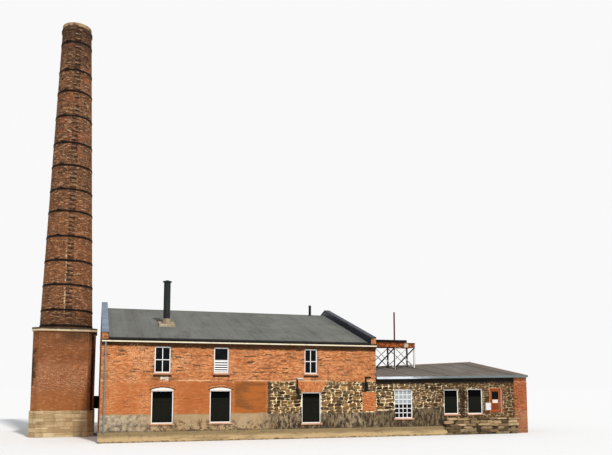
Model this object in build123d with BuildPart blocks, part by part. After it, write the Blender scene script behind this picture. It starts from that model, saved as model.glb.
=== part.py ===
from build123d import *
from collections import namedtuple
from math import asin, atan2, degrees, hypot, radians, sin
import os

# An old factory by the water: a two-storey gabled brick block, a low stone wing on its right
# and a tall round brick chimney on its left. Lengths are millimetres. While the pieces are drawn,
# x runs along the front wall from the block's left corner, y runs back from the front wall's face
# and z is height over the foot of the footing. HOME then moves every piece so that the origin
# lies under the middle of the whole outline.

# Brick block
BLOCK_LENGTH = 19650
BLOCK_DEPTH = 20800
FRONT_WALL = 450
GABLE_WALL = 400
EAVE_Z = 6880
RIDGE_Z = 10050
ROOF_THICKNESS = 220
EAVE_OVERHANG = 100
PARAPET_RISE = 430
COPING_THICKNESS = 70
COPING_LIP = 25
KNEELER_Z = 6420
GROUND_FLOOR_Z = 900
GROUND_SLAB = 200
UPPER_FLOOR_Z = 4100
UPPER_SLAB = 250

# Openings of the block, each a middle, a width, a sill height and a head height
Opening = namedtuple("Opening", "x width sill head")
UPPER_SILL_Z = 4500
UPPER_HEAD_Z = 6360
LOWER_SILL_Z = 1090
LOWER_HEAD_Z = 3400
UPPER_LEFT = Opening(3975, 1070, UPPER_SILL_Z, UPPER_HEAD_Z)
UPPER_MIDDLE = Opening(7995, 1040, UPPER_SILL_Z, UPPER_HEAD_Z)
UPPER_RIGHT = Opening(14550, 960, UPPER_SILL_Z, UPPER_HEAD_Z)
LOWER_LEFT = Opening(4015, 1470, LOWER_SILL_Z, LOWER_HEAD_Z)
LOWER_MIDDLE = Opening(7965, 1490, LOWER_SILL_Z, LOWER_HEAD_Z)
LOWER_RIGHT = Opening(14580, 1460, 950, 3250)
UPPER_OPENINGS = [UPPER_LEFT, UPPER_MIDDLE, UPPER_RIGHT]
LOWER_OPENINGS = [LOWER_LEFT, LOWER_MIDDLE, LOWER_RIGHT]
SIDE_WINDOW_WIDTH = 1070
SIDE_WINDOW_INSET = 5200
OVER_WING_SILL_Z = 5150

# Segmental brick arches over the two lower openings in the brick
ARCH_RISE = 150
ARCH_RING = 220
ARCH_DEPTH = 110
ARCH_GAP = 40

# Stonework, infills, plinth and footing of the front
STONE_START = 11280
STONE_TOP = 4010
FLAT_ARCH_SPLAY = 520
PATCH_WIDTH = 1100
PATCH_BOTTOM = 1850
PATCH_TOP = 3260
PLINTH_TOP = 1770
PLINTH_PROUD = 50
FOOTING_REACH = 480
FOOTING_EDGE_Z = 260
FOOTING_WALL_Z = 660
FOOTING_LIP = 100

# Frames, panes, boards and sills
FRAME_BAR = 70
FRAME_DEPTH = 110
FRAME_SETBACK = 90
PANE = 12
BOARD = 40
SILL_HEIGHT = 90
SILL_PROUD = 70
SILL_EAR = 80
SILL_BACK = 240
LOUVRE_COUNT = 5
LOUVRE_THICKNESS = 16
LOUVRE_DEPTH = 90
LOUVRE_TILT = 55
LOUVRE_BACKING = 20

# Eave gutter and rainwater pipe
GUTTER_WIDTH = 140
GUTTER_HEIGHT = 170
GUTTER_WALL = 12
PIPE_X = 250
PIPE_RADIUS = 48
PIPE_FOOT_Z = 620
PIPE_CLIP = 40
PIPE_CLIP_HEIGHTS = [1500, 3300, 5100]

# Flue and vent on the block's roof
FLUE_X = 4620
FLUE_BACK = 4500
FLUE_RADIUS = 250
FLUE_TOP_Z = 11500
FLUE_CAP_RADIUS = 340
FLUE_CAP_HEIGHT = 170
COLLAR_RADIUS = 310
COLLAR_HEIGHT = 330
CURB_SIDE = 1150
CURB_RISE = 140
VENT_FROM_RIGHT = 1890
VENT_RADIUS = 115
VENT_RISE = 840

# Stone wing
WING_LENGTH = 13150
WING_DEPTH = 8500
WING_WALL = 500
WING_EAVE_LEFT_Z = 4400
WING_EAVE_RIGHT_Z = 4600
WING_BACK_LEFT_Z = 5250
WING_BACK_RIGHT_Z = 5960
WING_ROOF_THICKNESS = 160
WING_OVERHANG = 150
WING_FLOOR_Z = 1600
WING_SLAB = 200
WING_PLINTH_END = 5650
WING_PLINTH_LEFT_Z = 1850
WING_PLINTH_RIGHT_Z = 2100
PIER_WIDTH = 1180
PIER_PROUD = 60
WING_FASCIA_HEIGHT = 380
WING_FASCIA = 40
SASH_WINDOW = Opening(2260, 1500, 1200, 3440)
BOARDED_LEFT = Opening(6330, 1260, 1460, 3440)
BOARDED_RIGHT = Opening(8440, 1340, 1460, 3490)
DOORWAY = Opening(10350, 1220, WING_FLOOR_Z, 3560)
ROCK_REACH = 420
ROCK_STEP = 230
ROCK_TOP_Z = 1230
ROCK_MIDDLE_Z = 780

# Hinged door of the wing
DOOR_JAMB = 110
DOOR_GAP = 5
DOOR_THICKNESS = 45
DOOR_STILE = 150
DOOR_RAIL_TOP = 120
DOOR_LIGHT_HEIGHT = 700
DOOR_PANEL_RECESS = 10
DOOR_PANEL_HEIGHT = 620
DOOR_SETBACK = 120
HINGE_RADIUS = 8
HINGE_HEIGHT = 110
HINGE_STRAP = 320
HINGE_PLATE = 60
HINGE_STEEL = 4
HINGE_CLEARANCE = 0.3
HINGE_LEVELS = [0.14, 0.5, 0.86]
KNOB_RADIUS = 30
KNOB_REACH = 62
KNOB_HEIGHT = 950
BOX_WIDTH = 440
BOX_HEIGHT = 570
BOX_DEPTH = 190
BOX_GAP = 30
BOX_BOTTOM_Z = 1830

# Steel stand on the wing's roof
STAND_INSET = 2500
STAND_BAY = 1850
STAND_FRONT = 5900
STAND_DEPTH = 1400
STAND_POST = 110
STAND_BEAM_Z = 7020
STAND_BEAM_HEIGHT = 400
STAND_DECK = 200
STAND_DECK_LENGTH = 3050
STAND_BRACE = 60
STAND_FOOT = 260
STAND_FOOT_PLATE = 25
MAST_RADIUS = 65
MAST_TOP_Z = 10040

# Chimney
CHIMNEY_X = -2600
CHIMNEY_Y = 8400
PEDESTAL_SIDE = 4400
PEDESTAL_CHAMFER = 500
BASE_PROUD = 50
BASE_TOP_Z = 1910
PEDESTAL_TOP_Z = 7750
LEDGE_THICKNESS = 260
LEDGE_PROUD = 90
SHAFT_BOTTOM_RADIUS = 1910
SHAFT_TOP_RADIUS = 1105
SHAFT_SIDES = 36
SHAFT_TOP_Z = 31800
FLUE_BORE = 750
CROWN_TOP_Z = 32450
CROWN_PROUD = 60
CROWN_NECK_Z = 32050
HOOP_HEIGHT = 90
HOOP_THICKNESS = 16
HOOP_LUG = 120
HOOP_HEIGHTS = [8200, 9380, 11300, 13170, 15040, 17020, 18740, 20660, 22480, 24660, 26700, 28450, 30800]
HOOP_LUG_TURN = -118
RUNG_START_Z = 8700
RUNG_PITCH = 345
RUNG_COUNT = 66
RUNG_WIDTH = 420
RUNG_REACH = 150
RUNG_BAR = 24
RUNG_SLACK = 10
RUNG_TURN = -84
CORNER_PIPE_RADIUS = 75
DUCT_WIDTH = 950
DUCT_HEIGHT = 950
DUCT_BOTTOM_Z = 2000
DUCT_WALL = 12

# Small iron pipes on the front wall, each a top left corner, an arm length and a drop
WALL_PIPE_RADIUS = 32
WALL_PIPES = [(13500, 4230, 420, 1120), (BLOCK_LENGTH - 830, 4330, 400, 900)]

# Sizes that follow from the ones above
ROOF_SLOPE = (RIDGE_Z - EAVE_Z) / (BLOCK_DEPTH / 2)
VENT_X = BLOCK_LENGTH - VENT_FROM_RIGHT
WING_START = BLOCK_LENGTH
STAND_X = WING_START + STAND_INSET
WING_END = WING_START + WING_LENGTH
PIER_START = WING_END - PIER_WIDTH
DOOR_X = WING_START + DOORWAY.x
DOOR_LEFT = DOOR_X - DOORWAY.width / 2
DOOR_RIGHT = DOOR_X + DOORWAY.width / 2
GUTTER_Z = EAVE_Z - EAVE_OVERHANG * ROOF_SLOPE - ROOF_THICKNESS
LEDGE_TOP_Z = PEDESTAL_TOP_Z + LEDGE_THICKNESS
REACH_LEFT = CHIMNEY_X - PEDESTAL_SIDE / 2 - LEDGE_PROUD
REACH_RIGHT = WING_END + COPING_LIP
REACH_FRONT = -FOOTING_REACH
REACH_BACK = BLOCK_DEPTH + EAVE_OVERHANG + GUTTER_WIDTH
HOME = Location((-(REACH_LEFT + REACH_RIGHT) / 2, -(REACH_FRONT + REACH_BACK) / 2, 0))

os.makedirs("parts", exist_ok=True)


def keep(piece, name):
    """Names a finished piece, moves it to the common origin and writes it."""
    placed = piece.moved(HOME)
    placed.label = name
    export_step(placed, f"parts/{name}.step")


def upright(y):
    """The plane parallel to the front wall, y behind it. A sketch on it reads x and z."""
    return Plane.XZ.offset(-y)


def crosswise(x):
    """The plane square to the front wall at x. A sketch on it reads y and z."""
    return Plane.YZ.offset(x)


def roof_z(y):
    """Height of the block's roof surface, the same on both slopes."""
    return EAVE_Z + ROOF_SLOPE * min(y, BLOCK_DEPTH - y)


def underside_z(y):
    """Height of the underside of the block's roof."""
    return roof_z(y) - ROOF_THICKNESS


def shaft_radius(z):
    """Outer radius of the chimney's tapered shaft at a height."""
    share = (z - LEDGE_TOP_Z) / (SHAFT_TOP_Z - LEDGE_TOP_Z)
    return SHAFT_BOTTOM_RADIUS + share * (SHAFT_TOP_RADIUS - SHAFT_BOTTOM_RADIUS)


def cut_openings(openings, start=0):
    """Cuts rectangles for openings from the sketch that is being drawn."""
    for hole in openings:
        with Locations((start + hole.x, (hole.sill + hole.head) / 2)):
            Rectangle(hole.width, hole.head - hole.sill, mode=Mode.SUBTRACT)


def arch_ring(hole):
    """The face of a segmental arch over an opening, as a sketch in x and z."""
    half = hole.width / 2 + ARCH_GAP
    radius = (half ** 2 + ARCH_RISE ** 2) / (2 * ARCH_RISE)
    half_turn = degrees(asin(half / radius))
    centre = (hole.x, hole.head + ARCH_GAP + ARCH_RISE - radius)
    with BuildSketch() as ring:
        with BuildLine():
            inner = CenterArc(centre, radius, 90 - half_turn, 2 * half_turn)
            outer = CenterArc(centre, radius + ARCH_RING, 90 - half_turn, 2 * half_turn)
            Line(inner @ 0, outer @ 0)
            Line(inner @ 1, outer @ 1)
        make_face()
    return ring.sketch


ARCHED = [LOWER_LEFT, LOWER_MIDDLE]
ARCH_FACES = [arch_ring(hole) for hole in ARCHED]


def flat_arch_outline():
    """Corners of the brick flat arch over the opening in the stonework, in x and z."""
    left = LOWER_RIGHT.x - LOWER_RIGHT.width / 2
    right = LOWER_RIGHT.x + LOWER_RIGHT.width / 2
    bottom = LOWER_RIGHT.head
    return [(left, bottom), (right, bottom), (right + FLAT_ARCH_SPLAY, STONE_TOP),
            (left - FLAT_ARCH_SPLAY, STONE_TOP)]


def patch_outline():
    """Corners of the brick patch at the block's right corner, in x and z."""
    return [(BLOCK_LENGTH - PATCH_WIDTH, PATCH_BOTTOM), (BLOCK_LENGTH, PATCH_BOTTOM),
            (BLOCK_LENGTH, PATCH_TOP), (BLOCK_LENGTH - PATCH_WIDTH, PATCH_TOP)]


# Block walls

with BuildPart() as front_brick:
    with BuildSketch(upright(0)):
        with BuildLine():
            Polyline((0, 0), (STONE_START, 0), (STONE_START, STONE_TOP), (BLOCK_LENGTH, STONE_TOP),
                     (BLOCK_LENGTH, EAVE_Z), (0, EAVE_Z), close=True)
        make_face()
        cut_openings(UPPER_OPENINGS + ARCHED)
    extrude(amount=-FRONT_WALL)
    with BuildSketch(upright(0)):
        for face in ARCH_FACES:
            add(face)
    extrude(amount=-ARCH_DEPTH, mode=Mode.SUBTRACT)
    slope_plane = Plane(origin=(0, 0, underside_z(0)), z_dir=(0, -ROOF_SLOPE, 1))
    split(bisect_by=slope_plane, keep=Keep.BOTTOM)
keep(front_brick.part, "block_front_brick")

with BuildPart() as front_stone:
    with BuildSketch(upright(0)):
        with BuildLine():
            Polyline((STONE_START, 0), (BLOCK_LENGTH, 0), (BLOCK_LENGTH, STONE_TOP),
                     (STONE_START, STONE_TOP), close=True)
        make_face()
        cut_openings([LOWER_RIGHT])
        for outline in (flat_arch_outline(), patch_outline()):
            with BuildLine():
                Polyline(*outline, close=True)
            make_face(mode=Mode.SUBTRACT)
    extrude(amount=-FRONT_WALL)
keep(front_stone.part, "block_front_stone")

with BuildPart() as infills:
    with BuildSketch(upright(0)):
        for outline in (flat_arch_outline(), patch_outline()):
            with BuildLine():
                Polyline(*outline, close=True)
            make_face()
    extrude(amount=-FRONT_WALL)
    with BuildSketch(upright(0)):
        for face in ARCH_FACES:
            add(face)
    extrude(amount=-ARCH_DEPTH)
keep(infills.part, "block_arches_and_infills")

BACK_UPPER = [Opening(hole.x, hole.width, UPPER_SILL_Z, UPPER_HEAD_Z) for hole in UPPER_OPENINGS]
BACK_LOWER = [Opening(hole.x, hole.width, LOWER_SILL_Z, LOWER_HEAD_Z) for hole in LOWER_OPENINGS]

with BuildPart() as back_wall:
    with BuildSketch(upright(BLOCK_DEPTH - FRONT_WALL)):
        with BuildLine():
            Polyline((0, 0), (BLOCK_LENGTH, 0), (BLOCK_LENGTH, EAVE_Z), (0, EAVE_Z), close=True)
        make_face()
        cut_openings(BACK_UPPER + BACK_LOWER)
    extrude(amount=-FRONT_WALL)
    slope_plane = Plane(origin=(0, BLOCK_DEPTH, underside_z(BLOCK_DEPTH)), z_dir=(0, ROOF_SLOPE, 1))
    split(bisect_by=slope_plane, keep=Keep.BOTTOM)
keep(back_wall.part, "block_back_wall")

GABLE_UPPER = [Opening(y, SIDE_WINDOW_WIDTH, UPPER_SILL_Z, UPPER_HEAD_Z)
               for y in (SIDE_WINDOW_INSET, BLOCK_DEPTH - SIDE_WINDOW_INSET)]
GABLE_LOWER = [Opening(BLOCK_DEPTH - SIDE_WINDOW_INSET, SIDE_WINDOW_WIDTH, LOWER_SILL_Z, LOWER_HEAD_Z)]
# The window over the wing's roof has a raised sill
RIGHT_UPPER = [Opening(SIDE_WINDOW_INSET, SIDE_WINDOW_WIDTH, OVER_WING_SILL_Z, UPPER_HEAD_Z), GABLE_UPPER[1]]


def gable_outline():
    """Corners of a gable wall raised as a parapet, in y and z, kneelers included."""
    front = [(FRONT_WALL, 0), (FRONT_WALL, underside_z(FRONT_WALL)), (0, underside_z(0)),
             (0, KNEELER_Z), (-EAVE_OVERHANG, KNEELER_Z),
             (-EAVE_OVERHANG, roof_z(-EAVE_OVERHANG) + PARAPET_RISE)]
    back = [(BLOCK_DEPTH - y, z) for y, z in reversed(front)]
    return front + [(BLOCK_DEPTH / 2, RIDGE_Z + PARAPET_RISE)] + back


for name, x, holes in (("block_left_gable", 0, GABLE_UPPER + GABLE_LOWER),
                       ("block_right_gable", BLOCK_LENGTH - GABLE_WALL, RIGHT_UPPER + GABLE_LOWER)):
    with BuildPart() as gable:
        with BuildSketch(crosswise(x)):
            with BuildLine():
                Polyline(*gable_outline(), close=True)
            make_face()
            cut_openings(holes)
        extrude(amount=GABLE_WALL)
    keep(gable.part, name)


def coping_outline():
    """Corners of the sheet metal coping on a parapet, in y and z."""
    below = [(-EAVE_OVERHANG - COPING_LIP, roof_z(-EAVE_OVERHANG - COPING_LIP) + PARAPET_RISE),
             (BLOCK_DEPTH / 2, RIDGE_Z + PARAPET_RISE),
             (BLOCK_DEPTH + EAVE_OVERHANG + COPING_LIP,
              roof_z(-EAVE_OVERHANG - COPING_LIP) + PARAPET_RISE)]
    above = [(y, z + COPING_THICKNESS) for y, z in reversed(below)]
    return below + above


for name, x in (("block_left_coping", 0), ("block_right_coping", BLOCK_LENGTH - GABLE_WALL)):
    with BuildPart() as coping:
        with BuildSketch(crosswise(x - COPING_LIP)):
            with BuildLine():
                Polyline(*coping_outline(), close=True)
            make_face()
        extrude(amount=GABLE_WALL + 2 * COPING_LIP)
    keep(coping.part, name)

# Block roof, eave gutters and rainwater pipe

ROOF_SPAN = BLOCK_LENGTH - 2 * GABLE_WALL
FRONT_SLOPE_OUTLINE = [(-EAVE_OVERHANG, roof_z(-EAVE_OVERHANG)), (BLOCK_DEPTH / 2, RIDGE_Z),
                       (BLOCK_DEPTH / 2, RIDGE_Z - ROOF_THICKNESS),
                       (-EAVE_OVERHANG, roof_z(-EAVE_OVERHANG) - ROOF_THICKNESS)]
BACK_SLOPE_OUTLINE = [(BLOCK_DEPTH - y, z) for y, z in FRONT_SLOPE_OUTLINE]

for name, outline in (("block_roof_front", FRONT_SLOPE_OUTLINE), ("block_roof_back", BACK_SLOPE_OUTLINE)):
    with BuildPart() as roof:
        with BuildSketch(crosswise(GABLE_WALL)):
            with BuildLine():
                Polyline(*outline, close=True)
            make_face()
        extrude(amount=ROOF_SPAN)
    keep(roof.part, name)


def gutter_outline(face_y, base_z, away):
    """Corners of an open box gutter hung on a face, in y and z. away is -1 in front, 1 behind."""
    out = face_y + away * GUTTER_WIDTH
    inner = face_y + away * GUTTER_WALL
    lip = out - away * GUTTER_WALL
    return [(face_y, base_z + GUTTER_HEIGHT), (face_y, base_z), (out, base_z),
            (out, base_z + GUTTER_HEIGHT), (lip, base_z + GUTTER_HEIGHT), (lip, base_z + GUTTER_WALL),
            (inner, base_z + GUTTER_WALL), (inner, base_z + GUTTER_HEIGHT)]


for name, face_y, away in (("block_front_gutter", -EAVE_OVERHANG, -1),
                           ("block_back_gutter", BLOCK_DEPTH + EAVE_OVERHANG, 1)):
    with BuildPart() as gutter:
        with BuildSketch(crosswise(0)):
            with BuildLine():
                Polyline(*gutter_outline(face_y, GUTTER_Z, away), close=True)
            make_face()
        extrude(amount=BLOCK_LENGTH)
    keep(gutter.part, name)

PIPE_Y = -EAVE_OVERHANG - GUTTER_WIDTH / 2
with BuildPart() as downpipe:
    with BuildSketch(Plane.XY.offset(PIPE_FOOT_Z)):
        with Locations((PIPE_X, PIPE_Y)):
            Circle(PIPE_RADIUS)
    extrude(amount=GUTTER_Z - PIPE_FOOT_Z)
    for height in PIPE_CLIP_HEIGHTS:
        start = -PLINTH_PROUD if height < PLINTH_TOP else 0
        with BuildSketch(Plane.XY.offset(height)):
            with Locations((PIPE_X, (PIPE_Y + start) / 2)):
                Rectangle(PIPE_CLIP, start - PIPE_Y)
        extrude(amount=PIPE_CLIP)
keep(downpipe.part, "block_downpipe")

# Block floors

INNER_LENGTH = BLOCK_LENGTH - 2 * GABLE_WALL
INNER_DEPTH = BLOCK_DEPTH - 2 * FRONT_WALL
for name, top_z, thickness in (("block_ground_floor", GROUND_FLOOR_Z, GROUND_SLAB),
                               ("block_upper_floor", UPPER_FLOOR_Z, UPPER_SLAB)):
    with BuildPart() as floor:
        with BuildSketch(Plane.XY.offset(top_z - thickness)):
            with Locations((BLOCK_LENGTH / 2, BLOCK_DEPTH / 2)):
                Rectangle(INNER_LENGTH, INNER_DEPTH)
        extrude(amount=thickness)
    keep(floor.part, name)

# Plinth render and footing


def cut_sill_slots(openings, start=0):
    """Cuts room for the sills' ears beside the feet of openings from the sketch being drawn."""
    for hole in openings:
        with Locations((start + hole.x, hole.sill + SILL_HEIGHT / 2)):
            Rectangle(hole.width + 2 * SILL_EAR, SILL_HEIGHT, mode=Mode.SUBTRACT)


PLINTH_END = WING_START + WING_PLINTH_END
with BuildPart() as plinth:
    with BuildSketch(upright(-PLINTH_PROUD)):
        with BuildLine():
            Polyline((0, FOOTING_WALL_Z), (PLINTH_END, FOOTING_WALL_Z), (PLINTH_END, WING_PLINTH_RIGHT_Z),
                     (WING_START, WING_PLINTH_LEFT_Z), (WING_START, PLINTH_TOP), (0, PLINTH_TOP),
                     close=True)
        make_face()
        cut_openings(LOWER_OPENINGS)
        cut_openings([SASH_WINDOW], WING_START)
        cut_sill_slots(LOWER_OPENINGS)
        cut_sill_slots([SASH_WINDOW, BOARDED_LEFT], WING_START)
    extrude(amount=-PLINTH_PROUD)
keep(plinth.part, "plinth_render")

with BuildPart() as footing:
    with BuildSketch(crosswise(-FOOTING_LIP)):
        with BuildLine():
            Polyline((0, 0), (-FOOTING_REACH, 0), (-FOOTING_REACH, FOOTING_EDGE_Z),
                     (-PLINTH_PROUD, FOOTING_WALL_Z), (0, FOOTING_WALL_Z), close=True)
        make_face()
    extrude(amount=FOOTING_LIP + PLINTH_END)
keep(footing.part, "front_footing")


# Frames, panes, boards and sills of the block

def frame_rings(openings, y, start=0):
    """Draws and extrudes the rectangular wooden frames of a row of openings, set over their sills."""
    with BuildPart() as rings:
        with BuildSketch(upright(y)):
            for hole in openings:
                bottom = hole.sill + SILL_HEIGHT
                height = hole.head - bottom
                with Locations((start + hole.x, bottom + height / 2)):
                    Rectangle(hole.width, height)
                    Rectangle(hole.width - 2 * FRAME_BAR, height - 2 * FRAME_BAR, mode=Mode.SUBTRACT)
        extrude(amount=-FRAME_DEPTH)
    return rings.part


def fillings(openings, y, thickness, start=0):
    """Draws and extrudes the panes or boards inside a row of frames."""
    with BuildPart() as sheets:
        with BuildSketch(upright(y)):
            for hole in openings:
                bottom = hole.sill + SILL_HEIGHT + FRAME_BAR
                height = hole.head - FRAME_BAR - bottom
                with Locations((start + hole.x, bottom + height / 2)):
                    Rectangle(hole.width - 2 * FRAME_BAR, height)
        extrude(amount=-thickness)
    return sheets.part


def sills(openings, proud, start=0):
    """Sills that fill the foot of each opening and stand proud of the wall with an ear each side."""
    with BuildPart() as row:
        for hole in openings:
            with BuildSketch(Plane.XY.offset(hole.sill)):
                with Locations((start + hole.x, SILL_BACK / 2)):
                    Rectangle(hole.width, SILL_BACK)
                with Locations((start + hole.x, -proud / 2)):
                    Rectangle(hole.width + 2 * SILL_EAR, proud)
            extrude(amount=SILL_HEIGHT)
    return row.part


PANE_Y = FRAME_SETBACK + FRAME_DEPTH / 2
BOARDED = [BOARDED_LEFT, BOARDED_RIGHT]
LOUVRE_BOTTOM = UPPER_SILL_Z + SILL_HEIGHT + FRAME_BAR
LOUVRE_TOP = (UPPER_SILL_Z + SILL_HEIGHT + UPPER_HEAD_Z) / 2
LOUVRE_LEFT = UPPER_MIDDLE.x - UPPER_MIDDLE.width / 2 + FRAME_BAR
LOUVRE_LENGTH = UPPER_MIDDLE.width - 2 * FRAME_BAR
with BuildPart() as boards:
    add(fillings(LOWER_OPENINGS, PANE_Y, BOARD))
    add(fillings(BOARDED, PANE_Y, BOARD, WING_START))
    with BuildSketch(upright(FRAME_SETBACK + FRAME_DEPTH - LOUVRE_BACKING)):
        with Locations((UPPER_MIDDLE.x, (LOUVRE_BOTTOM + LOUVRE_TOP) / 2)):
            Rectangle(LOUVRE_LENGTH, LOUVRE_TOP - LOUVRE_BOTTOM)
    extrude(amount=-LOUVRE_BACKING)
keep(boards.part, "opening_boards")

with BuildPart() as block_sills:
    add(sills(UPPER_OPENINGS, SILL_PROUD))
    add(sills(LOWER_OPENINGS, SILL_PROUD + PLINTH_PROUD))
keep(block_sills.part, "block_sills")

# The middle upper window is glazed above and has a louvre below
with BuildPart() as front_panes:
    add(fillings([SASH_WINDOW], PANE_Y, PANE, WING_START))
    with BuildSketch(upright(PANE_Y)):
        for hole in UPPER_OPENINGS:
            bottom = hole.sill + SILL_HEIGHT + FRAME_BAR
            if hole == UPPER_MIDDLE:
                bottom = LOUVRE_TOP
            height = hole.head - FRAME_BAR - bottom
            with Locations((hole.x, bottom + height / 2)):
                Rectangle(hole.width - 2 * FRAME_BAR, height)
    extrude(amount=-PANE)
keep(front_panes.part, "front_window_glass")

LOUVRE_PITCH = (LOUVRE_TOP - LOUVRE_BOTTOM) / LOUVRE_COUNT
with BuildPart() as block_frames:
    with BuildSketch(crosswise(LOUVRE_LEFT)):
        for index in range(LOUVRE_COUNT):
            middle_z = LOUVRE_BOTTOM + (index + 0.5) * LOUVRE_PITCH
            with Locations((PANE_Y, middle_z)):
                Rectangle(LOUVRE_DEPTH, LOUVRE_THICKNESS, rotation=LOUVRE_TILT)
    extrude(amount=LOUVRE_LENGTH)
    add(frame_rings(UPPER_OPENINGS + LOWER_OPENINGS, FRAME_SETBACK))
keep(block_frames.part, "block_window_frames")


# Plain sash windows of the back and the two gables

def rear_turn(holes):
    """Openings of the back wall as seen from behind, where x runs the other way."""
    return [Opening(BLOCK_LENGTH - hole.x, hole.width, hole.sill, hole.head) for hole in holes]


def side_window(holes, plane, depth, bar):
    """Rings or, with no bar, sheets for openings on a plane whose sketch reads along the wall and up."""
    with BuildPart() as fitted:
        with BuildSketch(plane):
            for hole in holes:
                inset = 0 if bar else FRAME_BAR
                width = hole.width - 2 * inset
                height = hole.head - hole.sill - 2 * inset
                with Locations((hole.x, (hole.sill + hole.head) / 2)):
                    Rectangle(width, height)
                    if bar:
                        Rectangle(width - 2 * bar, height - 2 * bar, mode=Mode.SUBTRACT)
        extrude(amount=-depth)
    return fitted.part


BACK_PLANE = Plane(origin=(BLOCK_LENGTH, BLOCK_DEPTH, 0), x_dir=(-1, 0, 0), z_dir=(0, 1, 0))
LEFT_PLANE = Plane(origin=(0, BLOCK_DEPTH, 0), x_dir=(0, -1, 0), z_dir=(-1, 0, 0))
RIGHT_PLANE = Plane(origin=(BLOCK_LENGTH, 0, 0), x_dir=(0, 1, 0), z_dir=(1, 0, 0))


def mirrored_along(holes):
    """Openings of a gable counted from its back corner."""
    return [Opening(BLOCK_DEPTH - hole.x, hole.width, hole.sill, hole.head) for hole in holes]


SIDE_SETS = [
    (BACK_PLANE, rear_turn(BACK_UPPER + BACK_LOWER)),
    (LEFT_PLANE, mirrored_along(GABLE_UPPER + GABLE_LOWER)),
    (RIGHT_PLANE, RIGHT_UPPER + GABLE_LOWER),
]
for name, setback, depth, bar in (("side_window_frames", FRAME_SETBACK, FRAME_DEPTH, FRAME_BAR),
                                  ("side_window_glass", PANE_Y, PANE, 0)):
    with BuildPart() as side_pieces:
        for plane, holes in SIDE_SETS:
            add(side_window(holes, plane.offset(-setback), depth, bar))
    keep(side_pieces.part, name)

# Flue, curb, collar and cap on the front slope, and the vent by the ridge

def on_slope(rise):
    """The plane of the front slope raised by a vertical distance."""
    return Plane(origin=(0, 0, EAVE_Z + rise), z_dir=(0, -ROOF_SLOPE, 1))


COLLAR_TOP_Z = roof_z(FLUE_BACK) + CURB_RISE + COLLAR_HEIGHT
with BuildPart() as collar:
    with BuildSketch(Plane.XY.offset(EAVE_Z)):
        with Locations((FLUE_X, FLUE_BACK)):
            Circle(COLLAR_RADIUS)
            Circle(FLUE_RADIUS, mode=Mode.SUBTRACT)
    extrude(amount=COLLAR_TOP_Z - EAVE_Z)
    split(bisect_by=on_slope(CURB_RISE), keep=Keep.TOP)

with BuildPart() as curb:
    with BuildSketch(crosswise(FLUE_X - CURB_SIDE / 2)):
        near = FLUE_BACK - CURB_SIDE / 2
        far = FLUE_BACK + CURB_SIDE / 2
        with BuildLine():
            Polyline((near, roof_z(near)), (far, roof_z(far)), (far, roof_z(far) + CURB_RISE),
                     (near, roof_z(near) + CURB_RISE), close=True)
        make_face()
    extrude(amount=CURB_SIDE)
    add(collar.part)
keep(curb.part, "flue_curb")


with BuildPart() as flue_pipe:
    with BuildSketch(Plane.XY.offset(EAVE_Z)):
        with Locations((FLUE_X, FLUE_BACK)):
            Circle(FLUE_RADIUS)
    extrude(amount=FLUE_TOP_Z - EAVE_Z)
    split(bisect_by=on_slope(CURB_RISE), keep=Keep.TOP)
    with BuildSketch(upright(FLUE_BACK)):
        with BuildLine():
            Polyline((FLUE_X, FLUE_TOP_Z), (FLUE_X + FLUE_CAP_RADIUS, FLUE_TOP_Z),
                     (FLUE_X + FLUE_CAP_RADIUS, FLUE_TOP_Z + FLUE_CAP_HEIGHT / 3),
                     (FLUE_X, FLUE_TOP_Z + FLUE_CAP_HEIGHT), close=True)
        make_face()
    revolve(axis=Axis((FLUE_X, FLUE_BACK, 0), (0, 0, 1)))
keep(flue_pipe.part, "flue_pipe")

VENT_Y = BLOCK_DEPTH / 2 - 2 * VENT_RADIUS
with BuildPart() as vent:
    with BuildSketch(Plane.XY.offset(EAVE_Z)):
        with Locations((VENT_X, VENT_Y)):
            Circle(VENT_RADIUS)
    extrude(amount=RIDGE_Z + VENT_RISE - EAVE_Z)
    split(bisect_by=on_slope(0), keep=Keep.TOP)
keep(vent.part, "roof_vent")

with BuildPart() as wall_pipes:
    for left, top, arm, drop in WALL_PIPES:
        with BuildSketch(upright(-2 * WALL_PIPE_RADIUS)):
            with BuildLine():
                Polyline((left - WALL_PIPE_RADIUS, top + WALL_PIPE_RADIUS),
                         (left + arm, top + WALL_PIPE_RADIUS), (left + arm, top - WALL_PIPE_RADIUS),
                         (left + WALL_PIPE_RADIUS, top - WALL_PIPE_RADIUS),
                         (left + WALL_PIPE_RADIUS, top - drop), (left - WALL_PIPE_RADIUS, top - drop),
                         close=True)
            make_face()
        extrude(amount=-2 * WALL_PIPE_RADIUS)
keep(wall_pipes.part, "wall_pipes")


# Wing roof and what lies under it

def wing_roof_z(x, y):
    """Height of the wing's warped lean-to roof, straight along its eave, its back and every slope."""
    along = (x - WING_START) / WING_LENGTH
    front = WING_EAVE_LEFT_Z + along * (WING_EAVE_RIGHT_Z - WING_EAVE_LEFT_Z)
    back = WING_BACK_LEFT_Z + along * (WING_BACK_RIGHT_Z - WING_BACK_LEFT_Z)
    return front + (back - front) * y / WING_DEPTH


def wing_section(x, low, high):
    """Corners, in y and z, of a strip of the wing between two heights over its roof surface."""
    near = -WING_OVERHANG
    far = WING_DEPTH + COPING_LIP
    return [(near, wing_roof_z(x, near) + low), (far, wing_roof_z(x, far) + low),
            (far, wing_roof_z(x, far) + high), (near, wing_roof_z(x, near) + high)]


def wing_layer(low, high):
    """The solid between two heights over the wing's roof surface, ruled from end to end."""
    with BuildPart() as layer:
        for x in (WING_START, WING_END + COPING_LIP):
            with BuildSketch(crosswise(x)):
                with BuildLine():
                    Polyline(*wing_section(x, low, high), close=True)
                make_face()
        loft(ruled=True)
    return layer.part


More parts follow.
